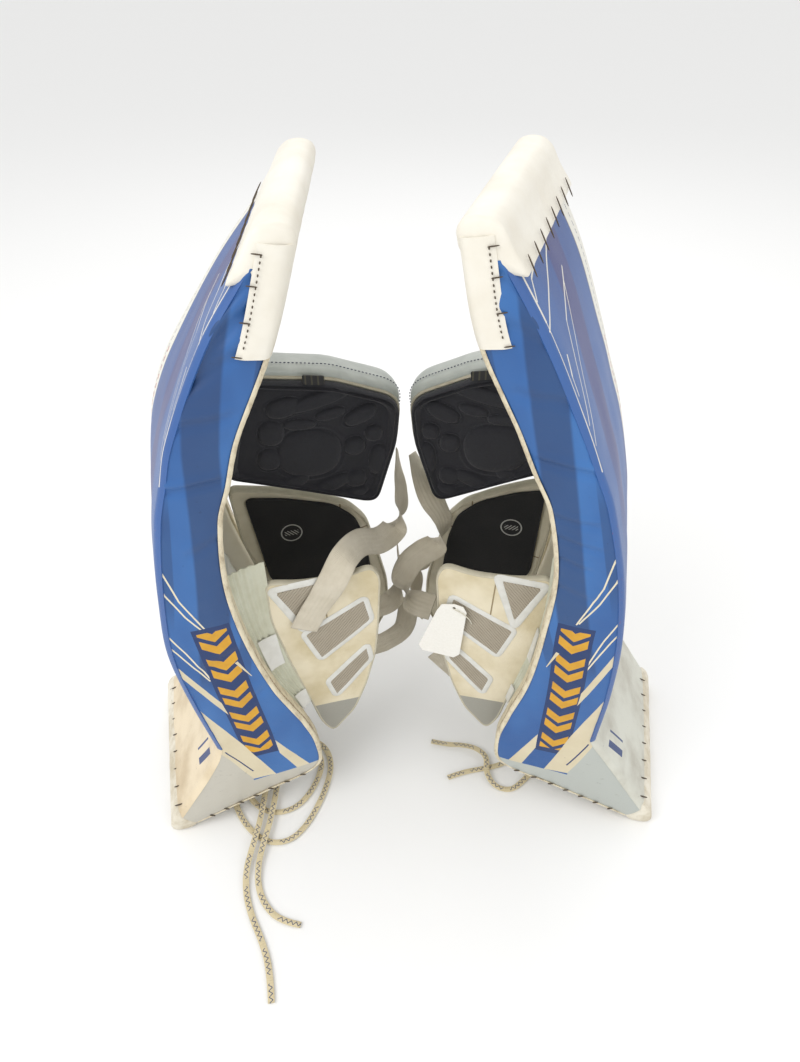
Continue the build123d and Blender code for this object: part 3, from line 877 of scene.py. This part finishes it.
def bar_stitches(name, bars, thickness=0.0009):
    """Short threads, each from one place to another, standing a little proud of the leather."""
    made = []
    for start, end in bars:
        bpy.ops.object.select_all(action="DESELECT")
        bpy.ops.mesh.primitive_uv_sphere_add(segments=8, ring_count=6, radius=1)
        bar = bpy.context.object
        run = (end - start) / 2
        side_way = run.orthogonal().normalized()
        up = run.normalized().cross(side_way)
        for corner in bar.data.vertices:
            x, y, z = corner.co
            stretch = run * (abs(z) ** 0.6 * (1 if z > 0 else -1))
            corner.co = (start + end) / 2 + stretch + (side_way * x + up * y) * thickness
        made.append(bar)
    for bar in made:
        bar.select_set(True)
    bpy.context.view_layer.objects.active = made[0]
    bpy.ops.object.join()
    piece = bpy.context.object
    piece.name = piece.data.name = name
    bpy.ops.object.mode_set(mode="EDIT")
    bpy.ops.mesh.select_all(action="SELECT")
    bpy.ops.mesh.normals_make_consistent(inside=False)
    bpy.ops.object.mode_set(mode="OBJECT")
    bpy.ops.object.shade_smooth_by_angle(angle=radians(60))
    return piece


TOE_OUTLINE = [(-15, 45), (-4, 34), (3, 18), (2, 5), (-5, 0), (-28, 0), (-40, 12.3), (-26, 26)]
toe_leather = Finish("toe_leather", Roughness=0.55)
toe_tone = toe_leather.ramp(toe_leather.noise(toe_leather.place(), 22, 6, 0.65), 0.35, 0.7)
toe_marks = toe_leather.ramp(toe_leather.noise(toe_leather.place(), 90, 6, 0.72), 0.62, 0.70)
toe_colour = toe_leather.mix(toe_tone, rgb(228, 222, 206), rgb(194, 182, 156))
toe_leather.set(Base_Color=toe_leather.mix(toe_marks * 0.6, toe_colour, rgb(84, 76, 66)),
                Normal=leather_grain(toe_leather, 1300, 0.3))
waxed_thread = Finish("waxed_thread", Roughness=0.7)
ply = waxed_thread.noise(waxed_thread.place(), 900)
waxed_thread.set(Base_Color=waxed_thread.mix(ply, rgb(92, 78, 60), rgb(58, 48, 38)),
                 Normal=waxed_thread.bump(ply, 0.5))
bridge_leather = Finish("bridge_leather", Roughness=0.6)
bridge_tone = bridge_leather.noise(bridge_leather.place(), 60, 5)
bridge_leather.set(Base_Color=bridge_leather.mix(bridge_tone, rgb(34, 34, 36), rgb(18, 18, 20)),
                   Normal=leather_grain(bridge_leather))

for side in SIDES:
    toe = crosswise_roll(side, side + "_toe_roll", TOE_OUTLINE, -2.2, 282.2, 0, 56, 120)
    finish_piece(toe, toe_leather, "toe_trim", side + "_toe_binding")
    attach(toe, side + "_boot")
    whips = [(spot(side, -23, w, 54.5), spot(side, -8, w + 8, 41)) for w in range(10, 270, 33)]
    for step in range(34, 80, 7):
        row = BOOT_ROWS[step]
        whips.append((on_pad(side, row, full_depth(row) - 9, -3.4),
                      on_pad(side, row, full_depth(row) + 1, -2.4)))
    thread = bar_stitches(side + "_toe_whipping", whips, 0.0012)
    finish_piece(thread, waxed_thread, "toe_trim")
    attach(thread, side + "_boot")
    bridge_rows = [row for row in BOOT_ROWS if 38 <= row[3] <= 62]
    bridge = run_piece(side, side + "_bridge_strap", bridge_rows,
                       lambda row: (full_depth(row) + 0.8, full_depth(row) + 5, 90, 190), 60, 1.8)
    finish_piece(bridge, bridge_leather, "bridge", side + "_toe_bridge")
    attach(bridge, side + "_boot")


# --- Leather cap ------------------------------------------------------------------------------
# White leather rolled over the top end and whipped to the face, with a tab that comes down the
# outer back corner, sewn along its front edge and held by four bar ties.
CAP_OUTLINE = [(-240, 846), (-258, 872), (-268, 891), (-278, 899), (-294, 900.5), (-307, 896), (-312, 886),
               (-308, 868), (-299, 858), (-275, 850)]
for side in SIDES:
    cap = crosswise_roll(side, side + "_cap_roll", CAP_OUTLINE, -3.0, 283.0,
                         THIGH_TWIST[side] * 0.97, 80, 150, 0.5, 6)
    finish_piece(cap, white_leather, "white_leather", side + "_top_cap")
    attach(cap, side + "_thigh")
    tab_rows = [row for row in SLAB_ROWS if 772 <= row[3] <= 882]
    last = len(tab_rows) - 1
    TAB_LINE = [(-31, -2.6), (-22, -4.4), (-10, -4.6), (-2, -3.2), (3, 2), (4.2, 9), (4.2, 16), (4, 24)]
    tab_line = smooth_path(TAB_LINE, 40)

    def tab_place(a, b):
        row = tab_rows[int(round(b * last))]
        back, w = tab_line[int(round(a * 40))]
        swell = noise.noise(Vector((row[3] * 0.03, a * 4, SIDES[side]))) * 1.1
        return on_pad(side, row, full_depth(row) + back, w - (1.2 + swell) * (w < 2))
    tab = grid_piece(side + "_cap_tab", 40, last, tab_place, lambda a, b: (a * .06, b * .13),
                     away=tuple(on_pad(side, tab_rows[last // 2], 20, 60)), thick=0.0022)
    finish_piece(tab, white_leather, "white_leather")
    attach(tab, side + "_thigh")
    ties = []
    for share in (0.04, 0.36, 0.68, 0.93):
        row = tab_rows[int(share * last)]
        ties.append((on_pad(side, row, full_depth(row) - 35, -5.2),
                     on_pad(side, row, full_depth(row) - 24, -7.2)))
    for step in range(4, last - 2, 2):
        row, after = tab_rows[step], tab_rows[step + 1]
        ties.append((on_pad(side, row, full_depth(row) - 25.5, -6.6),
                     on_pad(side, after, full_depth(after) - 25.5, -6.6)))
    twist = THIGH_TWIST[side] * 0.95
    forward = 6 if side == "left" else -4.8
    ties += [(spot(side, -236 + forward, w, 843, twist), spot(side, -248 + forward, w + 7, 862, twist))
             for w in range(12, 272, 34)]
    thread = bar_stitches(side + "_cap_thread", ties, 0.0008)
    finish_piece(thread, waxed_thread, "white_leather")
    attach(thread, side + "_thigh")

# --- Knee block and cushion -------------------------------------------------------------------
# A landing block of dense foam stands off the pad's inner side, covered in satin fabric with a
# line of navy stitching round it. A black knitted cushion with moulded pods lies on its near
# side, held by a rolled border.
def with_bow(side, outline, fade=130.0):
    """An outline on the pad's back, moved with the bow there, and less so further behind."""
    moved = []
    for u, z in outline:
        row = min(SLAB_ROWS, key=lambda r: abs(r[3] - z))
        near = min(max(1 - (row[2] - u) / fade, 0), 1)
        moved.append((u + bow(side, row) * near, z))
    return moved


def pillow(side, name, outline, low, high, edge, relief=None, bend=None, around=180, rings=44,
           round_off=14):
    """A closed crowned form on an outline in u and z, between two widths.

    relief(u, z, share) lowers or lifts the near side; bend(u, z) shifts all of it across.
    """
    rim = evenly(soften(outline, round_off), around)
    middle = sum(rim, Vector((0, 0))) / around
    back_rings, edge_rings = 10, 8
    total = rings + edge_rings + back_rings
    half = (high - low) / 2

    def at(a, b):
        step = int(round(b * total))
        corner = rim[int(round(a * around)) % around]
        inward = (middle - corner).normalized()
        if step <= rings:
            share = step / rings
            point = middle + (corner + inward * edge - middle) * share
            return point, low + (relief(point.x, point.y, share) if relief else 0.0), share
        if step <= rings + edge_rings:
            turn = pi * (step - rings) / edge_rings
            point = corner + inward * edge * (1 - sin(turn))
            return point, low + half - half * cos(turn), 1.0
        share = 1 - (step - rings - edge_rings) / back_rings
        return middle + (corner + inward * edge - middle) * share, high, share

    def place(a, b):
        point, w, _ = at(a, b)
        return spot(side, point.x, w + (bend(point.x, point.y) if bend else 0.0), point.y)

    piece = grid_piece(name, around, total, place,
                       lambda a, b: (at(a, b)[0].x / 1000, at(a, b)[0].y / 1000))
    close_ends()
    return piece


def rim_roll(side, name, outline, w_middle, half_w, half_out, inset=0.0, bend=None, around=200,
             round_off=14):
    """A closed roll that runs round an outline; its map is across the roll and along it."""
    rim = evenly(soften(outline, round_off), around)
    middle = sum(rim, Vector((0, 0))) / around
    length = sum((b - a).length for a, b in zip(rim, rim[1:] + rim[:1])) / 1000

    def place(a, b):
        step = int(round(a * around)) % around
        run = rim[(step + 1) % around] - rim[step - 1]
        out = Vector((run.y, -run.x)).normalized()
        if out.dot(rim[step] - middle) < 0:
            out = -out
        turn = 2 * pi * b
        point = rim[step] - out * inset + out * half_out * cos(turn)
        shift = bend(point.x, point.y) if bend else 0.0
        return spot(side, point.x, w_middle + half_w * sin(turn) + shift, point.y)

    piece = grid_piece(name, around, 14, place,
                       lambda a, b: (cos(2 * pi * b) * half_out / 1000, a * length))
    close_ends()
    return piece


THREAD_WIDTH, THREAD_RISE = 207, Vector((0, 0, .0004))
KNEE_BLOCK = [(-240, 668), (-330, 648), (-402, 614), (-416, 596), (-408, 526), (-378, 436), (-362, 431),
              (-192, 506)]
KNEE_CUSHION = [(-240, 653), (-330, 632), (-397, 600), (-409, 584), (-404, 530), (-376, 440), (-362, 436),
                (-196, 511)]
# Moulded pods of the cushion: middle u and z, half sizes, turn in degrees, height.
PODS = [(-290, 531, 43, 37, 8, 6.5), (-352, 533, 14, 14, 0, 7.5), (-379, 549, 12, 12, 0, 7.0),
        (-362, 580, 23, 12, -24, 7.0), (-383, 505, 12, 24, 8, 6.5), (-312, 612, 46, 11, -14, 6.0),
        (-262, 606, 22, 14, -10, 6.0), (-322, 588, 20, 8, -10, 4.5), (-243, 570, 17, 18, 10, 5.5),
        (-236, 530, 15, 17, 0, 5.5), (-281, 578, 22, 8, 6, 4.5), (-262, 486, 26, 11, -24, 5.5),
        (-318, 476, 26, 11, -20, 5.5), (-352, 478, 14, 14, 0, 5.0), (-352, 455, 16, 8, -10, 5.0)]


def pod_relief(side):
    shift = with_bow(side, [(-290, 531)])[0][0] + 290

    def relief(u, z, share):
        height = 0.0
        for pod_u, pod_z, half_u, half_z, turn, lift in PODS:
            du, dz = u - shift - pod_u, z - pod_z
            along = du * cos(radians(turn)) + dz * sin(radians(turn))
            off = dz * cos(radians(turn)) - du * sin(radians(turn))
            away = (abs(along / half_u) ** 2.4 + abs(off / half_z) ** 2.4)
            if away < 1:
                height = max(height, lift * (1 - away ** 2) ** 0.5)
            elif away < 1.7:
                height = max(height, 1.1 * exp(-((away - 1.35) / 0.16) ** 2))
        border = 7.5 * max(0.0, 1 - abs(share - 0.965) / 0.045) ** 0.5
        soft = noise.noise(Vector((u * 0.03, z * 0.03, 9))) * 0.8
        return 8.0 - max(height, border) + soft
    return relief


satin = Finish("knee_satin", Roughness=0.36)
satin_tone = satin.noise(satin.stretched(satin.place(), (20, 20, 6)), 1.6, 4)
satin_weave = satin.noise(satin.stretched(satin.place(), (1, 1, 4)), 700, 1)
satin.set(Base_Color=satin.mix(satin_tone, rgb(204, 208, 202), rgb(158, 164, 158)),
          Normal=satin.bump(satin_weave, 0.2, 0.0004, satin.bump(satin_tone, 0.6, 0.004)))
trim = Finish("beige_trim", Roughness=0.75)
trim_tone = trim.noise(trim.place(), 80, 5)
trim.set(Base_Color=trim.mix(trim_tone, rgb(206, 200, 180), rgb(164, 156, 134)),
         Normal=trim.bump(trim_tone, 0.4))
knit = Finish("black_knit", Roughness=0.82, Sheen_Weight=0.15)
x, y = knit.cloth()
loops = (x * 5200).maths("SINE") * (y * 4300 + (x * 2600).maths("SINE") * 0.8).maths("SINE")
fuzz = knit.noise(knit.place(), 300, 4)
knit.set(Base_Color=knit.mix(fuzz, rgb(22, 22, 27), rgb(44, 44, 52)), Normal=knit.bump(loops, 0.5, 0.0006))
navy_thread = Finish("navy_thread", Roughness=0.7)
navy_ply = navy_thread.noise(navy_thread.place(), 900)
navy_thread.set(Base_Color=navy_thread.mix(navy_ply, rgb(44, 56, 84), rgb(28, 36, 58)))
label_cloth = Finish("woven_label", Roughness=0.6)
stripes = (label_cloth.cloth()[0] % .008) < .0022
label_cloth.set(Base_Color=label_cloth.mix(stripes, rgb(20, 20, 22), rgb(64, 60, 46)))

for side in SIDES:
    block_outline, cushion_outline = with_bow(side, KNEE_BLOCK), with_bow(side, KNEE_CUSHION)
    block = pillow(side, side + "_knee_landing", block_outline, 194.5, 246, 8,
                   lambda u, z, share: 0.5 + noise.noise(Vector((u * 0.03, z * 0.03, 2))))
    finish_piece(block, satin, "knee_cover", side + "_knee_block")
    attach(block, side + "_knee")
    cushion = pillow(side, side + "_knee_pods", cushion_outline, 178, 194.5, 5, pod_relief(side),
                     None, 300, 90)
    finish_piece(cushion, knit, "knee_mesh", side + "_knee_cushion")
    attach(cushion, side + "_knee")
    strip = rim_roll(side, side + "_knee_trim", cushion_outline, 196, 4.6, 2.4, -1.0)
    finish_piece(strip, trim, "knee_cover")
    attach(strip, side + "_knee")
    rim = evenly(soften(block_outline), 150)
    dashes = []
    for a, b in zip(rim, rim[1:] + rim[:1]):
        if a.y > 560 or a.x < -395:
            dashes.append([spot(side, end.x, THREAD_WIDTH, end.y) + THREAD_RISE
                           for end in (a, a.lerp(b, 0.6))])
    thread = bar_stitches(side + "_knee_thread", dashes, 0.0007)
    finish_piece(thread, navy_thread, "knee_cover")
    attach(thread, side + "_knee")
    tag_u = with_bow(side, [(-312, 655)])[0][0]
    label = pillow(side, side + "_knee_label", [(tag_u + 14, 652), (tag_u - 14, 647), (tag_u - 13, 634),
                                                (tag_u + 15, 639)], 178.5, 181, 1, None, None, 40, 6, 1.5)
    finish_piece(label, label_cloth, "knee_cover")
    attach(label, side + "_knee")


# --- Inner calf wing --------------------------------------------------------------------------
# The inner calf wing is quilted nylon over thin foam, bound in cream tape, with a black brushed
# liner sewn to its upper half. The liner carries a small printed ring.
WING = [(-193, 474), (-240, 461), (-285, 443), (-334, 417), (-360, 384), (-372, 331), (-388, 255),
        (-390, 190), (-362, 132), (-305, 112), (-250, 150), (-232, 215), (-213, 290), (-196, 380)]
WING_LINER = [(-208, 458), (-253, 448), (-312, 424), (-343, 394), (-356, 350), (-364, 277), (-372, 200),
              (-320, 190), (-222, 296)]
RING_PLACE = {"left": (-.2470, .3830), "right": (-.2620, .3830)}

quilt = Finish("wing_nylon", Roughness=0.5)
x, y = quilt.cloth()
quilt_tone = quilt.noise(quilt.place(), 30, 5)
panel_seam = (abs(y - .262 + x * 0.3) < .0011) | (abs(x + .322) < .0011)
quilt_colour = quilt.mix(quilt_tone, rgb(222, 216, 196), rgb(184, 174, 148))
quilt.set(Base_Color=quilt.mix(panel_seam, quilt_colour, rgb(130, 112, 84)),
          Normal=quilt.bump(quilt.noise(quilt.place(), 1400, 1), 0.2, 0.0005,
                            quilt.bump(quilt_tone, 0.5, 0.003)))

for side in SIDES:
    wing_outline, liner_outline = with_bow(side, WING), with_bow(side, WING_LINER)
    wing = pillow(side, side + "_wing_pad", wing_outline, 207.5, 224, 7,
                  lambda u, z, share: 1 + 2.2 * noise.noise(Vector((u * 0.02 + z * 0.01, z * 0.04, 3))))
    finish_piece(wing, quilt, "wing_fabric", side + "_inner_wing")
    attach(wing, side + "_wing")
    tape = rim_roll(side, side + "_wing_tape", wing_outline, 214, 8.2, 2.6, 1.0)
    finish_piece(tape, trim, "wing_fabric")
    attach(tape, side + "_wing")
    brushed = Finish(side + "_brushed_liner", Roughness=0.9, Sheen_Weight=0.1)
    x, y = brushed.cloth()
    ring_u, ring_z = RING_PLACE[side]
    away = ((x - ring_u) * (x - ring_u) + (y - ring_z) * (y - ring_z)).maths("SQRT")
    ring = abs(away - .0150) < .0010
    bars = (away < .0105) & (((x - y) % .0052) < .0020) & (abs(y - ring_z) < .0045)
    nap = brushed.noise(brushed.place(), 420, 4)
    black = brushed.mix(nap, rgb(12, 12, 13), rgb(26, 26, 28))
    brushed.set(Base_Color=brushed.mix(ring | bars, black, rgb(160, 160, 156)),
                Normal=brushed.bump(nap, 0.5, 0.0008))
    liner = pillow(side, side + "_liner_pad", liner_outline, 203, 207.3, 2,
                   lambda u, z, share: 1 + noise.noise(Vector((u * 0.02, z * 0.02, 6))) * 1.5)
    finish_piece(liner, brushed, "liner", side + "_calf_liner")
    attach(liner, side + "_wing")


# --- Calf wrap with hook patches --------------------------------------------------------------
# The outer calf wrap is a sheet of plush felt on foam, bound all round. Patches of woven hook
# tape in white frames hold the straps, with a short webbing tab under the lower one.
FLAP = [(-196, 448), (-240, 438), (-298, 437), (-334, 446), (-345, 425), (-340, 340), (-334, 280),
        (-318, 218), (-298, 165), (-262, 122), (-246, 150), (-233, 210), (-213, 290), (-196, 380)]
PATCHES = [[(-208, 428), (-258, 434), (-238, 365)],
           [(-236, 345), (-322, 392), (-330, 350), (-256, 290)],
           [(-262, 240), (-322, 300), (-326, 270), (-272, 205)]]
FRAMES = [[(-201, 434), (-266, 440), (-237, 352)], PATCHES[1], PATCHES[2]]

felt = Finish("plush_felt", Roughness=0.95, Sheen_Weight=0.25)
x, y = felt.cloth()
pile = felt.noise(felt.place(), 260, 5, 0.7)
stain = felt.ramp(felt.noise(felt.place(), 12, 4), 0.35, 0.7)
felt_colour = felt.mix(stain, rgb(222, 212, 186), rgb(196, 182, 146))
felt_seam = (abs(x + .292 - y * 0.06) < .0010) & (y > .3)
lower = felt.mix(y < .190, felt_colour, rgb(150, 148, 138))
felt.set(Base_Color=felt.mix(felt_seam, lower, rgb(140, 124, 92)), Normal=felt.bump(pile, 0.7, 0.0012))
hook = Finish("hook_weave", Roughness=0.85)
x, y = hook.cloth()
rows_mask = ((x * 0.8 + y * 0.6) % .0036) < .0018
cross_mask = ((y * 0.8 - x * 0.6) % .0024) < .0012
hook_tone = hook.mix(rows_mask & cross_mask, rgb(160, 150, 132), rgb(112, 104, 90))
hook.set(Base_Color=hook.mix(hook.noise(hook.place(), 60) * 0.3, hook_tone, rgb(190, 182, 166)),
         Normal=hook.bump((rows_mask + cross_mask) * 0.5, 0.6, 0.0007))
frame_tape = Finish("frame_tape", Roughness=0.6)
frame_tone = frame_tape.noise(frame_tape.place(), 60, 4)
frame_tape.set(Base_Color=frame_tape.mix(frame_tone, rgb(226, 226, 222), rgb(190, 188, 178)),
               Normal=frame_tape.bump(frame_tape.noise(frame_tape.place(), 1500, 1), 0.3, 0.0004))


def wrap_bend(u, z):
    crown = -1.2 * sin(pi * min(max((-190 - u) / 150, 0), 1))
    return crown + 0.8 * noise.noise(Vector((u * 0.02, z * 0.02, 8)))


for side in SIDES:
    wrap = pillow(side, side + "_wrap_felt", FLAP, 36, 44, 3.5, None, wrap_bend)
    finish_piece(wrap, felt, "felt", side + "_calf_wrap")
    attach(wrap, side + "_wrap")
    tape = rim_roll(side, side + "_wrap_tape", FLAP, 40, 5.0, 2.2, 1.2, wrap_bend)
    finish_piece(tape, trim, "felt")
    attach(tape, side + "_wrap")
    for number, outline in enumerate(PATCHES):
        patch = pillow(side, f"{side}_hook_patch_{number + 1}", outline, 34.6, 36.6, 1, None,
                       wrap_bend, 90, 14, 4)
        finish_piece(patch, hook, "hook")
        if number == 0:
            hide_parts(side + "_hook_patches")
        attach(patch, side + "_wrap")
        surround = rim_roll(side, f"{side}_hook_frame_{number + 1}", FRAMES[number], 35.6, 1.1, 5.4, 0.5,
                            wrap_bend, 120, 6)
        finish_piece(surround, frame_tape, "hook")
        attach(surround, side + "_wrap")


# --- Pleated gusset ---------------------------------------------------------------------------
# Stretch mesh gathered in long pleats joins the wrap to the bound edge of the wall. Two plain
# white patches are sewn over it.
GUSSET_ROWS = [row for row in SLAB_ROWS if row[3] <= 486]
mesh_cloth = Finish("gusset_mesh", Roughness=0.8)
x, y = mesh_cloth.cloth()
holes = (x * 3600).maths("SINE") * (y * 3600).maths("SINE")
mesh_tone = mesh_cloth.noise(mesh_cloth.place(), 30, 4)
mesh_cloth.set(Base_Color=mesh_cloth.mix(mesh_tone, rgb(214, 216, 200), rgb(178, 176, 150)),
               Normal=mesh_cloth.bump(holes, 0.35, 0.0006))


def flap_front(z):
    """Where the wrap's front edge stands at a height."""
    edge = [(-262, 122), (-246, 150), (-233, 210), (-213, 290), (-196, 380), (-196, 448), (-196, 500)]
    for low, high in zip(edge, edge[1:]):
        if z <= high[1]:
            break
    share = min(max((z - low[1]) / (high[1] - low[1]), 0), 1)
    return low[0] + (high[0] - low[0]) * share


def gusset_spot(side, row, share, lift=0.0):
    """A place on the gusset: from under the bound edge to the wrap's front edge."""
    depth = full_depth(row) + 1.6
    start_u = row[0] + (row[2] - row[0]) * depth / full_depth(row) + bow(side, row)
    end_u = min(flap_front(row[3]) - 4, start_u - 1)
    u = start_u + (end_u - start_u) * share ** 1.6
    w = 17 + (36 - 17) * share ** 0.75
    slope = Vector((end_u - start_u, 19)).normalized()
    return spot(side, u - slope.y * lift, w - abs(slope.x) * lift, row[3])


for side in SIDES:
    last = len(GUSSET_ROWS) - 1
    pleats = 5 if side == "left" else 4

    def gusset_place(a, b):
        row = GUSSET_ROWS[int(round(b * last))]
        wave = sin(a * pleats * 2 * pi + noise.noise(Vector((row[3] * 0.02, 0, 0))) * 1.5)
        ripple = noise.noise(Vector((a * 4, row[3] * 0.12, SIDES[side]))) * 1.0
        return gusset_spot(side, row, a, (wave * 1.2 + ripple) * sin(pi * a) ** 0.5)
    gusset = grid_piece(side + "_gusset_pleats", 60, last, gusset_place, lambda a, b: (a * .04, b * .28),
                        away=tuple(spot(side, -150, 140, 350)), thick=0.0012)
    finish_piece(gusset, mesh_cloth, "gusset_mesh", side + "_gusset")
    middle_row = GUSSET_ROWS[last // 2]
    tuple(gusset_spot(side, middle_row, 0.1))
    tuple(gusset_spot(side, middle_row, 0.95))
    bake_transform(gusset)
    for number, (low, high) in enumerate(((300, 360), (180, 236))):
        rows = [row for row in GUSSET_ROWS if low <= row[3] <= high]
        end = len(rows) - 1
        sewn = grid_piece(f"{side}_gusset_patch_{number + 1}", 16, end,
                          lambda a, b: gusset_spot(side, rows[int(round(b * end))],
                                                   0.22 + 0.62 * a + 0.12 * (b - 0.5), 2.8),
                          lambda a, b: (a * .03, b * .06),
                          away=tuple(spot(side, -150, 140, 350)), thick=0.0014)
        finish_piece(sewn, frame_tape, "gusset_mesh")
        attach(sewn, side + "_shin")


# --- Elastic straps ---------------------------------------------------------------------------
# Cream elastic webbing, wider at the knee than at the calf, runs from the inner side to the
# wrap's hook patches. It stands in loose waves.
KNEE_WEBBING, CALF_WEBBING = 38, 32            # widths in millimetres
KNEE_STRAPS = {
    "left": [
        ((-12, 138, 490), (0, 1, 0)), ((-10, 118, 468), (0.1, 1, 0.1)), ((-7, 98, 447), (0.2, 1, 0.1)),
        ((-8, 76, 426), (0.3, 0.9, 0.1)), ((-18, 54, 412), (0.3, 0.9, 0.2)), ((-38, 22, 418), (0.1, 1, 0.3)),
        ((-62, -20, 450), (-0.3, 0.7, 0.6)), ((-80, -66, 466), (-0.7, 0.2, 0.6)),
        ((-95, -84, 444), (-0.87, -0.2, 0.46)),
        ((-110, -84, 414), (-0.87, -0.2, 0.46)), ((-125.5, -87, 388), (-0.87, -0.2, 0.46)),
        ((-139.5, -91, 360), (-0.87, -0.2, 0.46))],
    "right": [
        ((10, 142, 480), (0.1, 1, 0)), ((24, 122, 446), (0.6, 0.8, 0)), ((40, 102, 420), (0.75, 0.6, 0.3)),
        ((54, 82, 398), (0.6, 0.7, 0)), ((46, 64, 374), (0.1, 0.8, 0.5)), ((22, 52, 366), (0, 0.7, 0.6)),
        ((2, 40, 354), (-0.3, 0.7, 0.6)), ((-8, 26, 332), (-0.6, 0.7, 0.3)), ((6, 12, 310), (-0.2, 0.8, 0.6)),
        ((36, 0, 304), (0, 0.6, 0.8))],
}
CALF_STRAPS = {
    "left": [[((-62, 30, 284), (0, 0.4, 1)), ((-44, 36, 272), (0, 0.4, 1)), ((-22, 50, 276), (0, 0.5, 1)),
              ((-12, 76, 306), (0, 0.9, 0.5)), ((-14, 110, 330), (0, 0.9, -0.4))],
             [((-96, 16, 160), (0.5, 0.3, 1)), ((-66, 20, 196), (0.5, 0.3, 1)),
              ((-34, 28, 204), (0.2, 0.4, 1)),
              ((-6, 46, 216), (-0.3, 0.5, 1)), ((2, 76, 250), (-0.5, 0.9, 0.5))]],
    "right": [[((26, 24, 262), (-0.2, 0.4, 1)), ((14, 46, 276), (0, 0.4, 1)),
               ((16, 76, 306), (0.2, 0.6, 0.8)), ((30, 110, 330), (0.2, 0.9, 0.3))],
              [((42, 26, 178), (-0.4, 0.3, 1)), ((72, 14, 150), (-0.5, 0.3, 1)),
               ((104, 2, 122), (-0.5, 0.3, 1))]],
}
webbing = Finish("elastic_webbing", Roughness=0.8, Sheen_Weight=0.2)
across, along = webbing.cloth()
ribs = (along * 3900).maths("SINE") * 0.7 + (across * 2600).maths("SINE") * 0.5
edge_line = (abs(abs(across) - .0165) < .0006)
web_tone = webbing.noise(webbing.place(), 45, 5)
web_colour = webbing.mix(web_tone, rgb(222, 214, 196), rgb(184, 174, 152))
webbing.set(Base_Color=webbing.mix(edge_line * 0.4, web_colour, rgb(140, 128, 106)),
            Normal=webbing.bump(ribs, 0.5, 0.0007))


def strap_piece(name, stations, width, steps):
    path = smooth_path([tuple(c / 1000 for c in place) for place, _ in stations], steps)
    widths = smooth_path([(*place, *(c * 300 for c in wide)) for place, wide in stations], steps)
    wide = [Vector(w[3:6]).normalized() for w in widths]
    return ribbon_piece(name, path, wide, width / 2000, 0.0010, 0.3, 24)


for side in SIDES:
    strap = strap_piece(side + "_knee_webbing", KNEE_STRAPS[side], KNEE_WEBBING, 150)
    finish_piece(strap, webbing, "webbing", side + "_knee_strap")
    if side == "left":
        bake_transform(strap)
    else:
        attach(strap, "right_shin")
    for number, stations in enumerate(CALF_STRAPS[side]):
        strap = strap_piece(f"{side}_calf_webbing_{number + 1}", stations, CALF_WEBBING, 80)
        finish_piece(strap, webbing, "webbing")
        if number == 0:
            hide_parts(side + "_calf_straps")
        [c / 1000 for c in stations[0][0]]
        [c / 1000 for c in stations[2][0]]
        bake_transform(strap)


# --- Card tag ---------------------------------------------------------------------------------
# A blank white card hangs from the right wrap by a short cotton string through its hole.
card = Finish("card", Roughness=0.7)
fibre = card.noise(card.place(), 400, 5)
card.set(Base_Color=card.mix(fibre, rgb(238, 236, 230), rgb(222, 219, 210)),
         Normal=card.bump(fibre, 0.1, 0.0004))
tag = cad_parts["hang_tag"]
for place in tag.material_slots:
    place.material = card.material

STRING_ROUTE = [(-294, 33, 348), (-295, 29.5, 356), (-299, 26.8, 365), (-308, 26.4, 373), (-319, 26.9, 378)]
cotton_string = Finish("cotton_string", Roughness=0.85)
twist_tone = cotton_string.noise(cotton_string.place(), 1200)
cotton_string.set(Base_Color=cotton_string.mix(twist_tone, rgb(226, 222, 208), rgb(180, 174, 156)))
curve = nurbs_line("tag_cotton", [spot("right", *place) for place in STRING_ROUTE])
curve.bevel_depth = 0.0008
curve.use_fill_caps = True
string = bpy.data.objects.new("tag_cotton", curve)
bpy.context.collection.objects.link(string)
string.data.materials.append(cotton_string.material)
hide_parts("tag_string")
tuple(spot("right", *STRING_ROUTE[0]))
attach(string, "tag")
